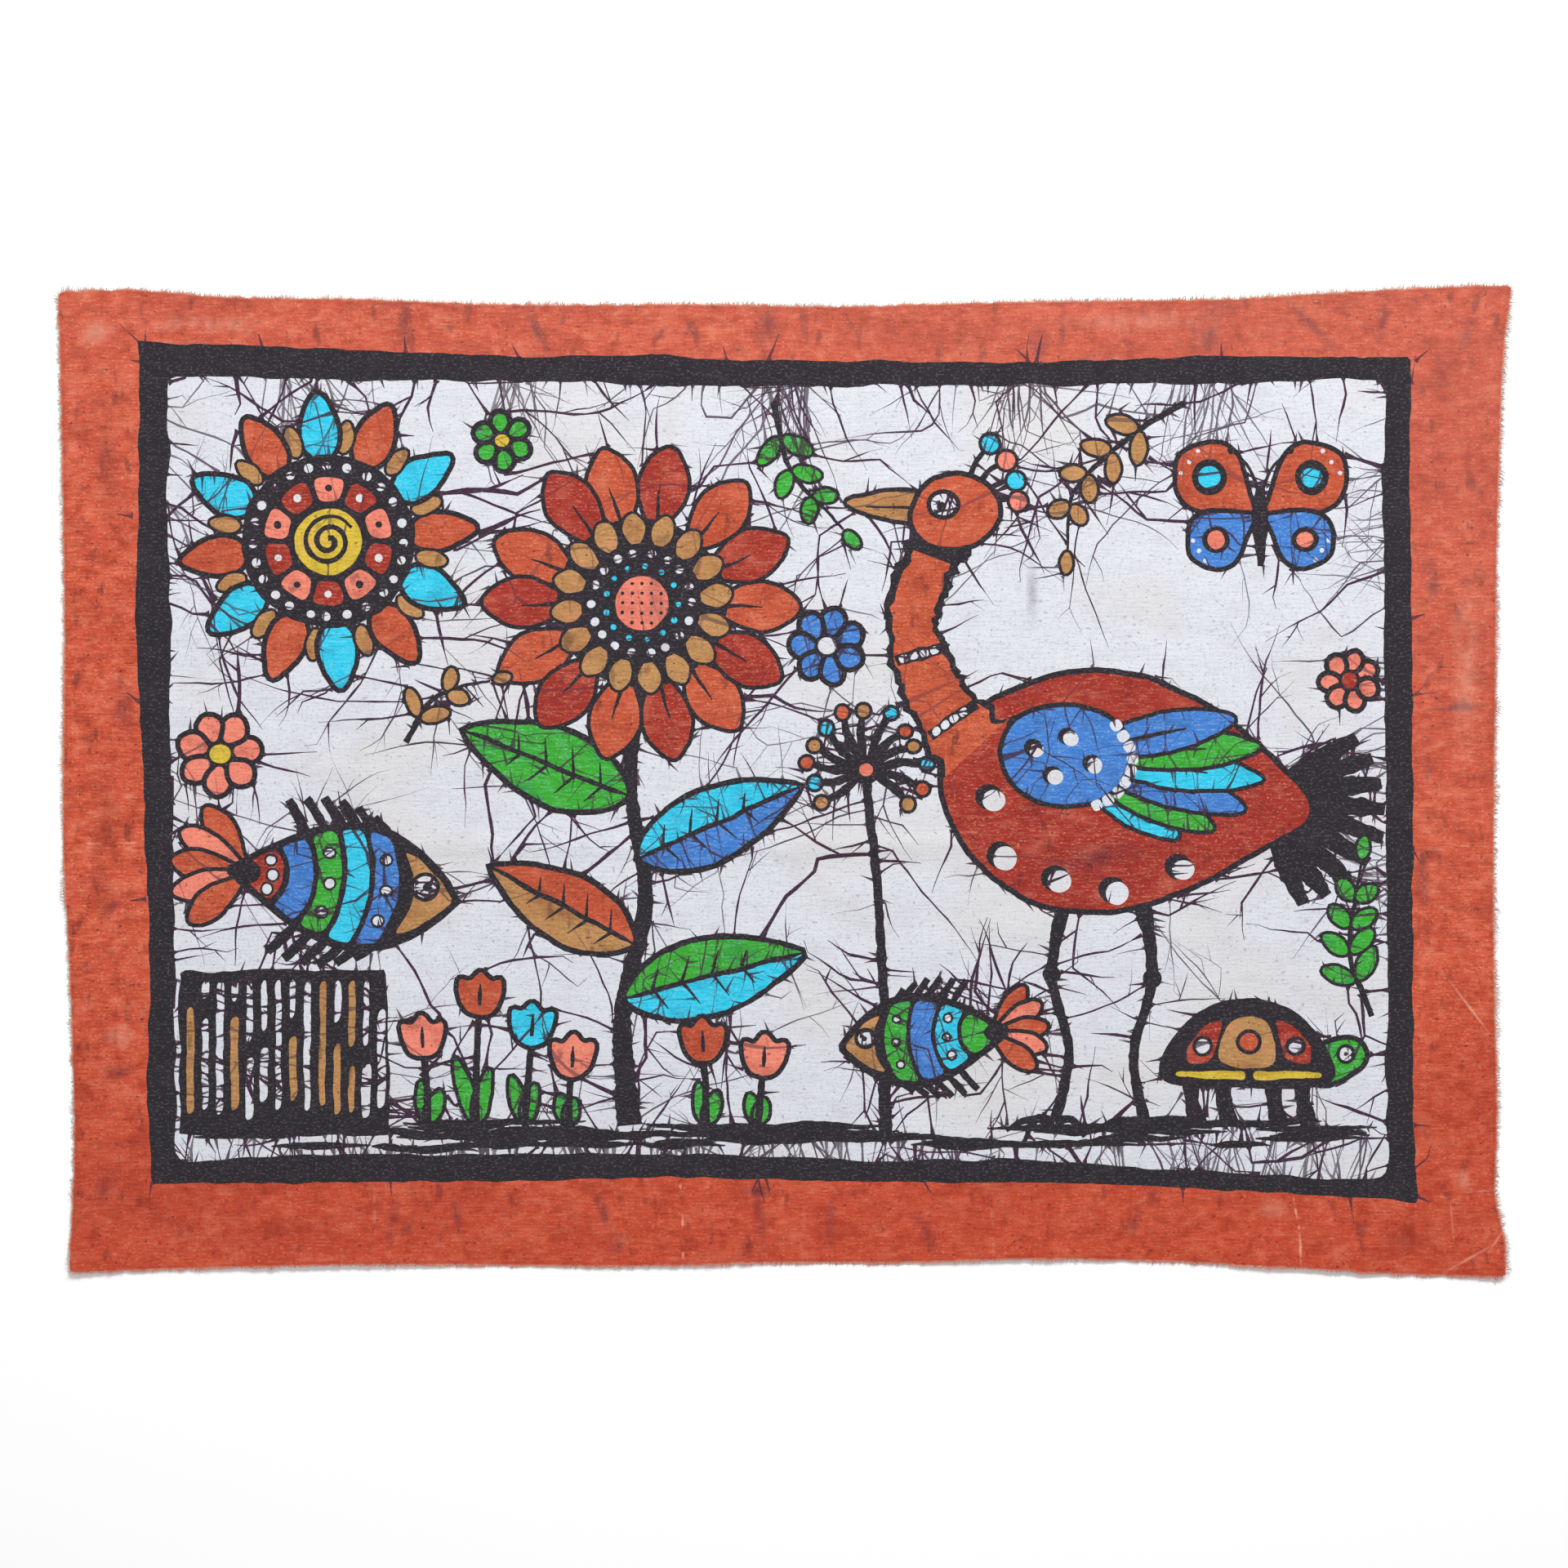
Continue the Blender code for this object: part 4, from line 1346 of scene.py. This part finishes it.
fray = bpy.data.objects.new("frayed_edge", fray_edge())
bpy.context.scene.collection.objects.link(fray)
fray.modifiers.new("threads", "NODES").node_group = frayed_threads(spun_cotton())
threads_mesh = bpy.data.meshes.new_from_object(fray.evaluated_get(bpy.context.evaluated_depsgraph_get()))
fray.modifiers.clear()
fray.data = threads_mesh

for piece in (cloth, fray):
    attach(piece, "root")
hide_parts("cloth")


# The floor and the soft studio light: the cloth lies face up on a plain pale surface. The light comes from
# beyond its top edge, so the lifted lower edge throws a thin shadow. The camera looks straight down.

CAMERA_HEIGHT = 1.5
PICTURE_WIDTH = 0.8112
PICTURE_MIDDLE = (-0.0004, -0.0015)
SENSOR = 36.0

floor_mesh = bpy.data.meshes.new("floor")
reach = 4.0
floor_mesh.from_pydata([(-reach, -reach, 0), (reach, -reach, 0), (reach, reach, 0), (-reach, reach, 0)], [], [(0, 1, 2, 3)])
floor = bpy.data.objects.new("floor", floor_mesh)
bpy.context.scene.collection.objects.link(floor)
pale = bpy.data.materials.new("pale_floor")
pale.use_nodes = True
pale.node_tree.nodes["Principled BSDF"].inputs["Base Color"].default_value = (0.97, 0.97, 0.97, 1)
pale.node_tree.nodes["Principled BSDF"].inputs["Emission Color"].default_value = (1, 1, 1, 1)
pale.node_tree.nodes["Principled BSDF"].inputs["Emission Strength"].default_value = 0.14
pale.node_tree.nodes["Principled BSDF"].inputs["Roughness"].default_value = 0.9
floor_mesh.materials.append(pale)


def lamp(name, place, size, power):
    """A soft square lamp that faces the middle of the cloth."""
    light = bpy.data.lights.new(name, "AREA")
    light.size = size
    light.energy = power
    thing = bpy.data.objects.new(name, light)
    thing.location = place
    thing.rotation_euler = (-Vector(place)).to_track_quat("-Z", "Y").to_euler()
    bpy.context.scene.collection.objects.link(thing)


lamp("window_light", (0.35, 1.6, 1.9), 0.5, 57)
lamp("fill_light", (-0.9, -0.6, 2.2), 2.4, 8)
world = bpy.data.worlds.new("studio")
world.use_nodes = True
world.node_tree.nodes["Background"].inputs["Color"].default_value = (1, 1, 1, 1)
world.node_tree.nodes["Background"].inputs["Strength"].default_value = 0.28
bpy.context.scene.world = world

camera_data = bpy.data.cameras.new("camera")
camera_data.sensor_width = SENSOR
camera_data.lens = SENSOR * CAMERA_HEIGHT / PICTURE_WIDTH
camera = bpy.data.objects.new("camera", camera_data)
camera.location = (*PICTURE_MIDDLE, CAMERA_HEIGHT)
bpy.context.scene.collection.objects.link(camera)
bpy.context.scene.camera = camera
bpy.context.scene.view_settings.view_transform = "Standard"
